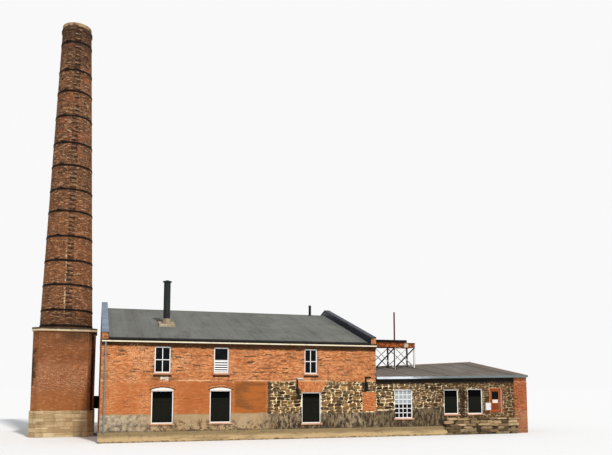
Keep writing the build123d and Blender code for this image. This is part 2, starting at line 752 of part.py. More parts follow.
keep(wing_layer(-WING_ROOF_THICKNESS, 0), "wing_roof")
WING_HEADROOM = wing_layer(-WING_ROOF_THICKNESS, 3 * WING_DEPTH)
WING_TALL_Z = WING_BACK_RIGHT_Z

with BuildPart() as wing_left:
    with BuildSketch(upright(0)):
        with BuildLine():
            Polyline((WING_START, 0), (DOOR_LEFT, 0), (DOOR_LEFT, WING_TALL_Z), (WING_START, WING_TALL_Z),
                     close=True)
        make_face()
        cut_openings([SASH_WINDOW] + BOARDED, WING_START)
    extrude(amount=-WING_WALL)
    add(WING_HEADROOM, mode=Mode.SUBTRACT)
keep(wing_left.part, "wing_front_wall_left")

for name, x0, x1, z0, z1 in (
        ("wing_front_wall_right", DOOR_RIGHT, PIER_START, 0, WING_TALL_Z),
        ("wing_wall_over_door", DOOR_LEFT, DOOR_RIGHT, DOORWAY.head, WING_TALL_Z),
        ("wing_wall_under_door", DOOR_LEFT, DOOR_RIGHT, 0, DOORWAY.sill)):
    with BuildPart() as wall:
        with BuildSketch(upright(0)):
            with Locations(((x0 + x1) / 2, (z0 + z1) / 2)):
                Rectangle(x1 - x0, z1 - z0)
        extrude(amount=-WING_WALL)
        add(WING_HEADROOM, mode=Mode.SUBTRACT)
    keep(wall.part, name)

with BuildPart() as pier:
    with BuildSketch(upright(-PIER_PROUD)):
        with Locations((PIER_START + PIER_WIDTH / 2, WING_TALL_Z / 2)):
            Rectangle(PIER_WIDTH, WING_TALL_Z)
    extrude(amount=-PIER_PROUD - WING_WALL)
    add(WING_HEADROOM, mode=Mode.SUBTRACT)
keep(pier.part, "wing_brick_pier")

with BuildPart() as end_wall:
    with BuildSketch(crosswise(WING_END - WING_WALL)):
        with Locations((WING_DEPTH / 2, WING_TALL_Z / 2)):
            Rectangle(WING_DEPTH - 2 * WING_WALL, WING_TALL_Z)
    extrude(amount=WING_WALL)
    add(WING_HEADROOM, mode=Mode.SUBTRACT)
keep(end_wall.part, "wing_end_wall")

with BuildPart() as wing_back:
    with BuildSketch(upright(WING_DEPTH - WING_WALL)):
        with Locations((WING_START + WING_LENGTH / 2, WING_TALL_Z / 2)):
            Rectangle(WING_LENGTH, WING_TALL_Z)
    extrude(amount=-WING_WALL)
    add(WING_HEADROOM, mode=Mode.SUBTRACT)
keep(wing_back.part, "wing_back_wall")

with BuildPart() as wing_floor:
    with BuildSketch(Plane.XY.offset(WING_FLOOR_Z - WING_SLAB)):
        with Locations((WING_START + (WING_LENGTH - WING_WALL) / 2, WING_DEPTH / 2)):
            Rectangle(WING_LENGTH - WING_WALL, WING_DEPTH - 2 * WING_WALL)
    extrude(amount=WING_SLAB)
keep(wing_floor.part, "wing_floor")

# Wing eave: a gutter over a deep timber fascia, both following the eave's rise

EAVE_RISE = (WING_EAVE_RIGHT_Z - WING_EAVE_LEFT_Z) / WING_LENGTH
EAVE_RUN = hypot(WING_LENGTH, WING_LENGTH * EAVE_RISE)
WING_GUTTER_TOP = wing_roof_z(WING_START, -WING_OVERHANG)
with BuildPart() as wing_gutter:
    with BuildSketch(crosswise(WING_START)):
        with BuildLine():
            Polyline(*gutter_outline(-WING_OVERHANG, WING_GUTTER_TOP - GUTTER_HEIGHT, -1), close=True)
        make_face()
    extrude(amount=EAVE_RUN, dir=(1, 0, EAVE_RISE))
keep(wing_gutter.part, "wing_gutter")

WING_FASCIA_TOP = wing_roof_z(WING_START, -WING_FASCIA) - WING_ROOF_THICKNESS
FASCIA_RUN = hypot(WING_LENGTH - PIER_WIDTH, (WING_LENGTH - PIER_WIDTH) * EAVE_RISE)
with BuildPart() as wing_fascia:
    with BuildSketch(crosswise(WING_START)):
        with Locations((-WING_FASCIA / 2, WING_FASCIA_TOP - WING_FASCIA_HEIGHT / 2)):
            Rectangle(WING_FASCIA, WING_FASCIA_HEIGHT)
    extrude(amount=FASCIA_RUN, dir=(1, 0, EAVE_RISE))
    add(WING_HEADROOM, mode=Mode.SUBTRACT)
keep(wing_fascia.part, "wing_fascia")

# Wing rock ledge, frames and sills

with BuildPart() as rock_ledge:
    with BuildSketch(crosswise(PLINTH_END)):
        with BuildLine():
            Polyline((0, 0), (-ROCK_REACH, 0), (-ROCK_REACH, ROCK_MIDDLE_Z - ROCK_STEP),
                     (-ROCK_STEP, ROCK_MIDDLE_Z), (-ROCK_STEP, ROCK_TOP_Z - ROCK_STEP / 2),
                     (0, ROCK_TOP_Z), close=True)
        make_face()
    extrude(amount=PIER_START - PLINTH_END)
keep(rock_ledge.part, "wing_rock_ledge")

keep(frame_rings([SASH_WINDOW] + BOARDED, FRAME_SETBACK, WING_START), "wing_window_frames")
keep(sills([SASH_WINDOW] + BOARDED, SILL_PROUD + PLINTH_PROUD, WING_START), "wing_sills")

# Door frame, hinged leaf, its glass, hinges and knobs

LEAF_LEFT = DOOR_LEFT + DOOR_JAMB + DOOR_GAP
LEAF_RIGHT = DOOR_RIGHT - DOOR_JAMB - DOOR_GAP
LEAF_BOTTOM = DOORWAY.sill + DOOR_GAP
LEAF_TOP = DOORWAY.head - DOOR_JAMB - DOOR_GAP
LEAF_WIDTH = LEAF_RIGHT - LEAF_LEFT
LEAF_HEIGHT = LEAF_TOP - LEAF_BOTTOM
LEAF_X = (LEAF_LEFT + LEAF_RIGHT) / 2
LEAF_INNER_Y = DOOR_SETBACK + FRAME_DEPTH
LEAF_OUTER_Y = LEAF_INNER_Y - DOOR_THICKNESS
LIGHT_Z = LEAF_TOP - DOOR_RAIL_TOP - DOOR_LIGHT_HEIGHT / 2
PANEL_Z = LEAF_BOTTOM + DOOR_STILE + DOOR_PANEL_HEIGHT / 2
PANEL_WIDTH = LEAF_WIDTH - 2 * DOOR_STILE
HINGE_X = LEAF_RIGHT + DOOR_GAP / 2
HINGE_Y = LEAF_INNER_Y + HINGE_RADIUS
HINGE_MIDDLES = [LEAF_BOTTOM + level * LEAF_HEIGHT for level in HINGE_LEVELS]

with BuildPart() as door_frame:
    with BuildSketch(upright(DOOR_SETBACK)):
        with BuildLine():
            Polyline((DOOR_LEFT, DOORWAY.sill), (DOOR_LEFT + DOOR_JAMB, DOORWAY.sill),
                     (DOOR_LEFT + DOOR_JAMB, DOORWAY.head - DOOR_JAMB),
                     (DOOR_RIGHT - DOOR_JAMB, DOORWAY.head - DOOR_JAMB),
                     (DOOR_RIGHT - DOOR_JAMB, DOORWAY.sill), (DOOR_RIGHT, DOORWAY.sill),
                     (DOOR_RIGHT, DOORWAY.head), (DOOR_LEFT, DOORWAY.head), close=True)
        make_face()
    extrude(amount=-FRAME_DEPTH)
    with BuildSketch(upright(LEAF_INNER_Y)):
        for middle in HINGE_MIDDLES:
            with Locations((HINGE_X + HINGE_RADIUS + HINGE_CLEARANCE + HINGE_PLATE / 2, middle)):
                Rectangle(HINGE_PLATE, HINGE_HEIGHT)
    extrude(amount=-HINGE_STEEL)
keep(door_frame.part, "door_frame")

with BuildPart() as leaf:
    with BuildSketch(upright(LEAF_OUTER_Y)):
        with Locations((LEAF_X, LEAF_BOTTOM + LEAF_HEIGHT / 2)):
            Rectangle(LEAF_WIDTH, LEAF_HEIGHT)
        with Locations((LEAF_X, LIGHT_Z)):
            Rectangle(PANEL_WIDTH, DOOR_LIGHT_HEIGHT, mode=Mode.SUBTRACT)
    extrude(amount=-DOOR_THICKNESS)
    with BuildSketch(upright(LEAF_OUTER_Y)):
        with Locations((LEAF_X, PANEL_Z)):
            Rectangle(PANEL_WIDTH, DOOR_PANEL_HEIGHT)
    extrude(amount=-DOOR_PANEL_RECESS, mode=Mode.SUBTRACT)
keep(leaf.part, "door_leaf")

with BuildPart() as door_glass:
    with BuildSketch(upright(LEAF_OUTER_Y + DOOR_THICKNESS / 2)):
        with Locations((LEAF_X, LIGHT_Z)):
            Rectangle(PANEL_WIDTH, DOOR_LIGHT_HEIGHT)
    extrude(amount=-PANE)
keep(door_glass.part, "door_glass")

KNOB_X = LEAF_LEFT + DOOR_STILE / 2
KNOB_Z = LEAF_BOTTOM + KNOB_HEIGHT
KNOB_PROFILE = [(0, 0), (0, 0.4), (0.5, 0.4), (0.6, 1), (0.85, 1), (1, 0.6), (1, 0)]
with BuildPart() as fittings:
    for middle in HINGE_MIDDLES:
        with BuildSketch(Plane.XY.offset(middle - HINGE_HEIGHT / 2)):
            with Locations((HINGE_X, HINGE_Y)):
                Circle(HINGE_RADIUS)
            with Locations((HINGE_X - HINGE_STRAP / 2, LEAF_INNER_Y + HINGE_STEEL / 2)):
                Rectangle(HINGE_STRAP, HINGE_STEEL)
    extrude(amount=HINGE_HEIGHT)
    for face_y, away in ((LEAF_OUTER_Y, -1), (LEAF_INNER_Y, 1)):
        with BuildSketch(crosswise(KNOB_X)):
            with BuildLine():
                Polyline(*[(face_y + away * out * KNOB_REACH, KNOB_Z + radius * KNOB_RADIUS)
                           for out, radius in KNOB_PROFILE], close=True)
            make_face()
    revolve(axis=Axis((KNOB_X, 0, KNOB_Z), (0, 1, 0)))
keep(fittings.part, "door_fittings")

with BuildPart() as box:
    with BuildSketch(upright(-BOX_DEPTH)):
        with Locations((DOOR_LEFT - BOX_GAP - BOX_WIDTH / 2, BOX_BOTTOM_Z + BOX_HEIGHT / 2)):
            Rectangle(BOX_WIDTH, BOX_HEIGHT)
    extrude(amount=-BOX_DEPTH)
keep(box.part, "wall_box")

# Steel stand and mast on the wing's roof

STAND_COLUMNS = [STAND_X + index * STAND_BAY for index in range(3)]
STAND_ROWS = [STAND_FRONT, STAND_FRONT + STAND_DEPTH]
STAND_LENGTH = 2 * STAND_BAY + STAND_POST
with BuildPart() as posts:
    with BuildSketch(Plane.XY.offset(WING_EAVE_LEFT_Z)):
        for x in STAND_COLUMNS:
            for y in STAND_ROWS:
                with Locations((x, y)):
                    Rectangle(STAND_POST, STAND_POST)
    extrude(amount=STAND_BEAM_Z - WING_EAVE_LEFT_Z)
    for x in STAND_COLUMNS:
        for y in STAND_ROWS:
            with BuildSketch(Plane.XY.offset(wing_roof_z(x, y) + STAND_FOOT_PLATE)):
                with Locations((x, y)):
                    Rectangle(STAND_FOOT, STAND_FOOT)
    extrude(amount=-STAND_FOOT)
    add(wing_layer(-3 * WING_DEPTH, 0), mode=Mode.SUBTRACT)
keep(posts.part, "stand_posts")

DECK_LEFT = STAND_X - STAND_POST / 2
DECK_Z = STAND_BEAM_Z + STAND_BEAM_HEIGHT
with BuildPart() as top_frame:
    with BuildSketch(Plane.XY.offset(STAND_BEAM_Z)):
        for y in STAND_ROWS:
            with Locations((STAND_X + STAND_BAY, y)):
                Rectangle(STAND_LENGTH, STAND_POST)
        for x in STAND_COLUMNS:
            with Locations((x, STAND_FRONT + STAND_DEPTH / 2)):
                Rectangle(STAND_POST, STAND_DEPTH)
    extrude(amount=STAND_BEAM_HEIGHT)
    with BuildSketch(Plane.XY.offset(DECK_Z)):
        with Locations((DECK_LEFT + STAND_DECK_LENGTH / 2, STAND_FRONT + STAND_DEPTH / 2)):
            Rectangle(STAND_DECK_LENGTH, STAND_DEPTH + STAND_POST)
    extrude(amount=STAND_DECK)
    with BuildSketch(Plane.XY.offset(DECK_Z)):
        with Locations((STAND_COLUMNS[1], STAND_FRONT)):
            Circle(MAST_RADIUS)
    extrude(amount=MAST_TOP_Z - DECK_Z)
keep(top_frame.part, "stand_top_frame")

with BuildPart() as braces:
    for y in STAND_ROWS:
        for left in STAND_COLUMNS[:2]:
            inner_left = left + STAND_POST / 2
            inner_right = left + STAND_BAY - STAND_POST / 2
            low = wing_roof_z(left + STAND_BAY, y) + STAND_FOOT_PLATE + STAND_BRACE
            high = STAND_BEAM_Z - STAND_BRACE
            middle = ((inner_left + inner_right) / 2, (low + high) / 2)
            run = inner_right - inner_left
            tilt = degrees(atan2(high - low, run))
            reach = hypot(run, high - low)
            with BuildSketch(upright(y - STAND_BRACE / 2)):
                with Locations(middle):
                    Rectangle(reach + STAND_BRACE, STAND_BRACE, rotation=tilt)
                    Rectangle(reach + STAND_BRACE, STAND_BRACE, rotation=-tilt)
                with Locations(middle):
                    Rectangle(run, high - low + 2 * STAND_BRACE, mode=Mode.INTERSECT)
            extrude(amount=-STAND_BRACE)
keep(braces.part, "stand_braces")


# Chimney

def round_outline(radius, mode=Mode.ADD):
    """Draws the many-sided outline that stands for a circle round the chimney's axis."""
    with Locations(Location((CHIMNEY_X, CHIMNEY_Y), RUNG_TURN)):
        RegularPolygon(radius, SHAFT_SIDES, major_radius=False, mode=mode)


def prism(side, z0, z1, bore):
    """A chamfered square prism round the chimney's axis, with the flue through it if it has a bore."""
    with BuildPart() as block:
        with BuildSketch(Plane.XY.offset(z0)) as outline:
            with Locations((CHIMNEY_X, CHIMNEY_Y)):
                Rectangle(side, side)
            chamfer(outline.vertices(), PEDESTAL_CHAMFER)
            if bore:
                round_outline(bore, Mode.SUBTRACT)
        extrude(amount=z1 - z0)
    return block.part


keep(prism(PEDESTAL_SIDE + 2 * BASE_PROUD, 0, BASE_TOP_Z, 0), "chimney_base")
keep(prism(PEDESTAL_SIDE + 2 * LEDGE_PROUD, PEDESTAL_TOP_Z, LEDGE_TOP_Z, FLUE_BORE), "chimney_ledge")

PEDESTAL_FACE_X = CHIMNEY_X + PEDESTAL_SIDE / 2
with BuildPart() as pedestal:
    add(prism(PEDESTAL_SIDE, BASE_TOP_Z, PEDESTAL_TOP_Z, FLUE_BORE))
    with BuildSketch(crosswise(PEDESTAL_FACE_X)):
        with Locations((CHIMNEY_Y, DUCT_BOTTOM_Z + DUCT_HEIGHT / 2)):
            Rectangle(DUCT_WIDTH, DUCT_HEIGHT)
    extrude(amount=-PEDESTAL_SIDE / 2, mode=Mode.SUBTRACT)
keep(pedestal.part, "chimney_pedestal")


def tapered(levels):
    """A many-sided round solid on the chimney's axis through a list of heights and radii."""
    with BuildPart() as round_solid:
        for z, radius in levels:
            with BuildSketch(Plane.XY.offset(z)):
                round_outline(radius)
        loft(ruled=True)
    return round_solid.part


CROWN_RADIUS = SHAFT_TOP_RADIUS + CROWN_PROUD
SHAFT_LEVELS = [(LEDGE_TOP_Z, SHAFT_BOTTOM_RADIUS), (SHAFT_TOP_Z, SHAFT_TOP_RADIUS),
                (SHAFT_TOP_Z + CROWN_PROUD, CROWN_RADIUS), (CROWN_NECK_Z, CROWN_RADIUS),
                (CROWN_NECK_Z + CROWN_PROUD, SHAFT_TOP_RADIUS), (CROWN_TOP_Z, SHAFT_TOP_RADIUS)]
with BuildPart() as shaft:
    add(tapered(SHAFT_LEVELS))
    with BuildSketch(Plane.XY.offset(LEDGE_TOP_Z)):
        round_outline(FLUE_BORE)
    extrude(amount=CROWN_TOP_Z - LEDGE_TOP_Z, mode=Mode.SUBTRACT)
keep(shaft.part, "chimney_shaft")


def clear_of_hoops(z):
    """Height of a rung, moved just over any hoop that it would meet."""
    for hoop_z in HOOP_HEIGHTS:
        if hoop_z - RUNG_BAR - RUNG_SLACK < z < hoop_z + HOOP_HEIGHT + RUNG_SLACK:
            return hoop_z + HOOP_HEIGHT + RUNG_SLACK
    return z


def hoop(z):
    """One iron hoop round the shaft, with the lug that tightens it."""
    low = shaft_radius(z)
    high = shaft_radius(z + HOOP_HEIGHT)
    with BuildPart() as ring:
        with BuildSketch(Plane.XY.offset(z)):
            with Locations(Location((CHIMNEY_X, CHIMNEY_Y), HOOP_LUG_TURN)):
                with Locations((low + HOOP_THICKNESS, 0)):
                    Rectangle(HOOP_LUG, HOOP_LUG)
        extrude(amount=HOOP_HEIGHT)
        add(tapered([(z, low + HOOP_THICKNESS), (z + HOOP_HEIGHT, high + HOOP_THICKNESS)]))
        add(tapered([(z, low), (z + HOOP_HEIGHT, high)]), mode=Mode.SUBTRACT)
    return ring.part


with BuildPart() as rungs:
    for index in range(RUNG_COUNT):
        height = clear_of_hoops(RUNG_START_Z + index * RUNG_PITCH)
        radius = shaft_radius(height)
        reach = radius + RUNG_REACH
        with BuildSketch(Plane.XY.offset(height)):
            with Locations(Location((CHIMNEY_X, CHIMNEY_Y), RUNG_TURN)):
                with Locations(Location((reach / 2, 0))):
                    Rectangle(reach, RUNG_WIDTH)
                    Rectangle(reach - 2 * RUNG_BAR, RUNG_WIDTH - 2 * RUNG_BAR, mode=Mode.SUBTRACT)
                RegularPolygon(radius, SHAFT_SIDES, major_radius=False, mode=Mode.SUBTRACT)
    extrude(amount=RUNG_BAR)
IRONWORK = [solid for z in HOOP_HEIGHTS for solid in hoop(z).solids()]
keep(Compound(IRONWORK + rungs.part.solids()), "chimney_ironwork")

CORNER_SHIFT = PEDESTAL_CHAMFER / 2
CORNER_OUT = CORNER_PIPE_RADIUS * sin(radians(45))
with BuildPart() as corner_pipe:
    with BuildSketch(Plane.XY.offset(BASE_TOP_Z)):
        with Locations((CHIMNEY_X + PEDESTAL_SIDE / 2 - CORNER_SHIFT + CORNER_OUT,
                        CHIMNEY_Y - PEDESTAL_SIDE / 2 + CORNER_SHIFT - CORNER_OUT)):
            Circle(CORNER_PIPE_RADIUS)
    extrude(amount=PEDESTAL_TOP_Z - BASE_TOP_Z)
keep(corner_pipe.part, "chimney_corner_pipe")

with BuildPart() as duct:
    with BuildSketch(crosswise(PEDESTAL_FACE_X)):
        with Locations((CHIMNEY_Y, DUCT_BOTTOM_Z + DUCT_HEIGHT / 2)):
            Rectangle(DUCT_WIDTH, DUCT_HEIGHT)
            Rectangle(DUCT_WIDTH - 2 * DUCT_WALL, DUCT_HEIGHT - 2 * DUCT_WALL, mode=Mode.SUBTRACT)
    extrude(amount=-PEDESTAL_FACE_X)
keep(duct.part, "flue_duct")
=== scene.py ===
"""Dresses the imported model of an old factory: a brick block, its stone wing and a round chimney.

Lengths are metres in the model's own frame: x runs along the front wall to the right, y runs back
from the front and z is height over the ground. A place on a wall is written as u, counted along the
wall from its left end as seen from outside, and z.
"""
import math
from collections import namedtuple

import bpy
import numpy as np
from bpy.props import FloatProperty, FloatVectorProperty, IntProperty, PointerProperty
from bpy.types import Operator, Panel, PropertyGroup
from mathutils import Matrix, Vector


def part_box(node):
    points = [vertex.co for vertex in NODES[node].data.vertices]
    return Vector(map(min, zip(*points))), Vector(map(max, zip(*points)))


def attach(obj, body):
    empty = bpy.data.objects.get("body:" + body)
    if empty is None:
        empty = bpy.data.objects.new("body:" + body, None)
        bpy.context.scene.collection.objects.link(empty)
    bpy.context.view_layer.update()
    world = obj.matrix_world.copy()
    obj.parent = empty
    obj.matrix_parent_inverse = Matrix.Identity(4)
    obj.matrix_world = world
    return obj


bl_info = {
    "name": "Old Factory Dressing",
    "version": (1, 0, 0),
    "blender": (4, 5, 0),
    "location": "View3D > Sidebar > Factory",
    "description": "Bricks, rubble, joinery, roofs and ironwork around the packed factory model",
    "category": "Object",
}

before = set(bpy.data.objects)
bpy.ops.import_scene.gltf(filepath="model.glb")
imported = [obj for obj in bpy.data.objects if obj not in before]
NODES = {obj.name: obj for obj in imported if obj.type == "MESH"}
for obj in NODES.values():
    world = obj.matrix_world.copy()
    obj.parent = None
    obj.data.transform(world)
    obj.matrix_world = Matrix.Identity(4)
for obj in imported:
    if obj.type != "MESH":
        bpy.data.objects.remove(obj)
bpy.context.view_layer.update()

UP = np.array((0.0, 0.0, 1.0))
Face = namedtuple("Face", "origin along outward")
Hole = namedtuple("Hole", "left right bottom top")
Blocks = namedtuple("Blocks", "left right bottom top")
Opening = namedtuple("Opening", "middle width sill head")
LOOKS = {}


def box(node):
    """Lowest and highest corner of a CAD node as arrays."""
    low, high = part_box(node)
    return np.array(low), np.array(high)


def linear(red, green, blue):
    """A colour written in screen values from 0 to 255, as the linear values that a shader takes."""
    share = np.array((red, green, blue)) / 255
    low = share / 12.92
    high = ((share + 0.055) / 1.055) ** 2.4
    return tuple(float(v) for v in np.where(share <= 0.04045, low, high))


def wall(x, y, along, outward):
    """A wall's face by its lower left corner and, in plan, the ways along it and out of it."""
    return Face(np.array((x, y, 0.0)), np.array((*along, 0.0)), np.array((*outward, 0.0)))


def moved(face, x, y):
    """The same way round as another face, from a corner of its own."""
    return face._replace(origin=np.array((x, y, 0.0)))


# Places on the CAD model

FRONT_LOW, FRONT_HIGH = box("block_front_brick")
PIER_LOW, PIER_HIGH = box("wing_brick_pier")
PEDESTAL_LOW, PEDESTAL_HIGH = box("chimney_pedestal")
BASE_LOW, BASE_HIGH = box("chimney_base")
LEDGE_LOW, LEDGE_HIGH = box("chimney_ledge")
LEAF_LOW, LEAF_HIGH = box("door_leaf")
DOOR_FRAME_LOW, DOOR_FRAME_HIGH = box("door_frame")
ROCK_LOW, ROCK_HIGH = box("wing_rock_ledge")
CHIMNEY_X, CHIMNEY_Y = (PEDESTAL_LOW[:2] + PEDESTAL_HIGH[:2]) / 2
LEFT_X = float(FRONT_LOW[0])
RIGHT_X = float(FRONT_HIGH[0])
FRONT_Y = float(FRONT_LOW[1])
BACK_Y = float(box("block_back_wall")[1][1])
WING_X = float(box("wing_front_wall_left")[0][0])
WING_END_X = float(box("wing_end_wall")[1][0])
WING_BACK_Y = float(box("wing_back_wall")[1][1])
BLOCK_LENGTH = RIGHT_X - LEFT_X
BLOCK_DEPTH = BACK_Y - FRONT_Y
WING_LENGTH = WING_END_X - WING_X

FRONT = wall(LEFT_X, FRONT_Y, (1.0, 0.0), (0.0, -1.0))
BACK = wall(RIGHT_X, BACK_Y, (-1.0, 0.0), (0.0, 1.0))
LEFT = wall(LEFT_X, BACK_Y, (0.0, -1.0), (-1.0, 0.0))
RIGHT = wall(RIGHT_X, FRONT_Y, (0.0, 1.0), (1.0, 0.0))

# Sizes that follow the CAD source

EAVE_Z = 6.88
RIDGE_Z = 10.05
ROOF_SLOPE = (RIDGE_Z - EAVE_Z) / (BLOCK_DEPTH / 2)
EAVE_OVERHANG = 0.1
PARAPET_RISE = 0.43
KNEELER_Z = 6.42
GABLE_WALL = 0.4
WALL_TOP_Z = 6.655
PLINTH_TOP_Z = 1.77
STONE_START = 11.28
STONE_TOP_Z = 4.01
WING_DEPTH = 8.5
WING_EAVE_Z = 4.4
WING_EAVE_RISE = 0.2
WING_RIDGE_Z = 5.25
WING_RIDGE_RISE = 0.71
ROCK_START = BLOCK_LENGTH + 5.65
SHAFT_FOOT_RADIUS = 1.91
SHAFT_NECK_RADIUS = 1.105
SHAFT_NECK_Z = 31.8
CROWN_RADIUS = 1.165
CROWN_TOP_Z = 32.05
CHAMFER = 0.5
HOOP_LEVELS = np.array((8.2, 9.38, 11.3, 13.17, 15.04, 17.02, 18.74, 20.66, 22.48, 24.66, 26.7, 28.45, 30.8))
HOOP_CLASP_TURN = math.radians(-118)
LADDER_SIDE = 0.17
LADDER_FOOT_Z = 8.7
LADDER_STEP = 0.345
ARCH_RISE = 0.15
ARCH_RING = 0.22
ARCH_GAP = 0.04
FLAT_ARCH_SPLAY = 0.52
# The brick patch on the front and the duct's end on the left gable
PATCH = Hole(BLOCK_LENGTH - 1.1, BLOCK_LENGTH, 1.85, 3.26)
DUCT = Hole(11.9, 12.9, 1.99, 2.96)
# Windows: width of a frame's bar, setback of the panes, place of the glazing bars, height of the sills
FRAME_BAR = 0.07
PANE_SETBACK = 0.145
BARS_OUT = -0.147
SILL_HEIGHT = 0.09
# The stand on the wing's roof
BEAM_FOOT_Z, BEAM_TOP_Z = 7.02, 7.42
DECK_TOP_Z = 7.62

# Marks on the walls

# Foot of the dark band under the eave: painted shadow of the eave, with grime in it
EAVE_SHADOW_AND_GRIME_Z = 6.2
PALE_LINE_Z = 4.05
STAINS = [(13.42, 13.8, 2.7, 4.05), (18.5, 19.1, 3.25, 4.1)]

# Openings

UPPER_SILL, UPPER_HEAD = 4.5, 6.36
LOWER_SILL, LOWER_HEAD = 1.09, 3.4
UPPER_LEFT = Opening(3.975, 1.07, UPPER_SILL, UPPER_HEAD)
UPPER_MIDDLE = Opening(7.995, 1.04, UPPER_SILL, UPPER_HEAD)
UPPER_RIGHT = Opening(14.55, 0.96, UPPER_SILL, UPPER_HEAD)
LOWER_LEFT = Opening(4.015, 1.47, LOWER_SILL, LOWER_HEAD)
LOWER_MIDDLE = Opening(7.965, 1.49, LOWER_SILL, LOWER_HEAD)
LOWER_RIGHT = Opening(14.58, 1.46, 0.95, 3.25)
SASH = Opening(BLOCK_LENGTH + 2.26, 1.5, 1.2, 3.44)
BOARDED_LEFT = Opening(BLOCK_LENGTH + 6.33, 1.26, 1.46, 3.44)
BOARDED_RIGHT = Opening(BLOCK_LENGTH + 8.44, 1.34, 1.46, 3.49)
DOORWAY = Opening(BLOCK_LENGTH + 10.35, 1.22, 1.6, 3.56)
UPPER_OPENINGS = (UPPER_LEFT, UPPER_MIDDLE, UPPER_RIGHT)
ARCHED_OPENINGS = (LOWER_LEFT, LOWER_MIDDLE)
BACK_OPENINGS = [Opening(BLOCK_LENGTH - o.middle, o.width, sill, head)
                 for row, sill, head in ((UPPER_OPENINGS, UPPER_SILL, UPPER_HEAD),
                                         ((*ARCHED_OPENINGS, LOWER_RIGHT), LOWER_SILL, LOWER_HEAD))
                 for o in row]
SIDE_WIDTH = 1.07
SIDE_NEAR = 5.2
SIDE_FAR = BLOCK_DEPTH - SIDE_NEAR
LEFT_OPENINGS = [Opening(SIDE_NEAR, SIDE_WIDTH, UPPER_SILL, UPPER_HEAD),
                 Opening(SIDE_FAR, SIDE_WIDTH, UPPER_SILL, UPPER_HEAD),
                 Opening(SIDE_NEAR, SIDE_WIDTH, LOWER_SILL, LOWER_HEAD)]
SILL_OVER_WING = 5.15
RIGHT_OPENINGS = [Opening(SIDE_NEAR, SIDE_WIDTH, SILL_OVER_WING, UPPER_HEAD),
                  Opening(SIDE_FAR, SIDE_WIDTH, UPPER_SILL, UPPER_HEAD),
                  Opening(SIDE_FAR, SIDE_WIDTH, LOWER_SILL, LOWER_HEAD)]


def roof_z(y):
    """Height of the block's roof over a distance y behind the front wall: both slopes rise to the ridge."""
    return EAVE_Z + ROOF_SLOPE * np.minimum(y, BLOCK_DEPTH - y)


def wing_roof_z(x, y):
    """Height of the wing's roof: straight lines from an eave that rises to a back edge that rises more."""
    along = x / WING_LENGTH
    eave = WING_EAVE_Z + along * WING_EAVE_RISE
    ridge = WING_RIDGE_Z + along * WING_RIDGE_RISE
    return eave + (ridge - eave) * y / WING_DEPTH


def on_wing_roof(x, y, lift):
    """Points over the wing's roof, where x and y count from its front left corner."""
    return points(WING_X + x, FRONT_Y + y, wing_roof_z(x, y) + lift)


def shaft_radius(z):
    """Radius of the shaft, which narrows evenly from the ledge to the neck."""
    share = (z - LEDGE_HIGH[2]) / (SHAFT_NECK_Z - LEDGE_HIGH[2])
    return SHAFT_FOOT_RADIUS + share * (SHAFT_NECK_RADIUS - SHAFT_FOOT_RADIUS)


def crown_radius(z):
    """Radius of the upright crown, the same at every height."""
    return CROWN_RADIUS + 0 * np.asarray(z)


def arch_circle(opening):
    """Half the width, the radius and the centre's height of a segmental arch's inner circle:
    radius = (half squared + rise squared) / twice the rise."""
    half = opening.width / 2 + ARCH_GAP
    radius = (half ** 2 + ARCH_RISE ** 2) / (2 * ARCH_RISE)
    return half, radius, opening.head + ARCH_GAP + ARCH_RISE - radius


# Points and faces of meshes

def points(x, y, z):
    """Points from numbers and arrays of matching shapes."""
    return np.stack(np.broadcast_arrays(x, y, z), -1)


def on_face(face, u, z, out):
    """Point = origin + u times along + z times up + out times outward."""
    return (face.origin + np.asarray(u)[..., None] * face.along + np.asarray(z)[..., None] * UP
            + np.asarray(out)[..., None] * face.outward)


def flat(face):
    """Turns u, z and out into points on a flat face."""
    return lambda u, z, out: on_face(face, u, z, out)


def ring_quads(sides, rows=1):
    """Quads between rings of points that lie one after another, with the given number of rows."""
    k = np.arange(sides)
    n = (k + 1) % sides
    return np.concatenate([np.stack((k, n, n + sides, k + sides), 1) + sides * row for row in range(rows)])


def repeated(faces, count, step):
    """The same faces for each of many units, whose points lie a step apart."""
    return (np.arange(count)[:, None, None] * step + faces).reshape(-1, faces.shape[-1])


def piece(name, vertices, faces, look, body="root", tone=None, cells=None):
    """Makes a mesh object from whole arrays, gives it its finish and lets it ride on a body.

    faces is a list of index arrays, one for each corner count. tone is a value for each vertex and
    cells a place for each vertex on the sheet that the finish is baked to.
    """
    mesh = bpy.data.meshes.new(name)
    mesh.from_pydata(np.asarray(vertices, float).reshape(-1, 3).tolist(), [],
                     [f for block in faces for f in block.tolist()])
    if tone is not None:
        mesh.attributes.new("tone", "FLOAT", "POINT").data.foreach_set("value", np.asarray(tone, np.float32))
    if cells is not None:
        corner = np.zeros(len(mesh.loops), np.int32)
        mesh.loops.foreach_get("vertex_index", corner)
        mesh.uv_layers.new(name="OFBake").data.foreach_set("uv", cells[corner].astype(np.float32).ravel())
    mesh.polygons.foreach_set("use_smooth", np.zeros(len(mesh.polygons), bool))
    mesh.materials.append(LOOKS[look])
    obj = bpy.data.objects.new(name, mesh)
    bpy.context.scene.collection.objects.link(obj)
    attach(obj, body)
    return obj


def cell_sheet(count, local, aspect):
    """Places for a bake: unit i takes cell i of a grid, where local gives its vertices from 0 to 1."""
    columns = max(1, int(math.ceil(math.sqrt(count / aspect))))
    rows = int(math.ceil(count / columns))
    index = np.arange(count)
    corner = np.stack((index % columns, index // columns), 1)[:, None, :]
    return ((corner + 0.06 + 0.88 * local) / (columns, rows)).reshape(-1, 2)


# Masonry laid out as blocks in u and z

STONE_HEIGHTS = (0.13, 0.28)
STONE_LENGTHS = (0.26, 0.66)


def row_of(edges, low, high):
    """One row of blocks, each between two neighbouring edges."""
    count = len(edges) - 1
    return Blocks(edges[:-1], edges[1:], np.full(count, low), np.full(count, high))


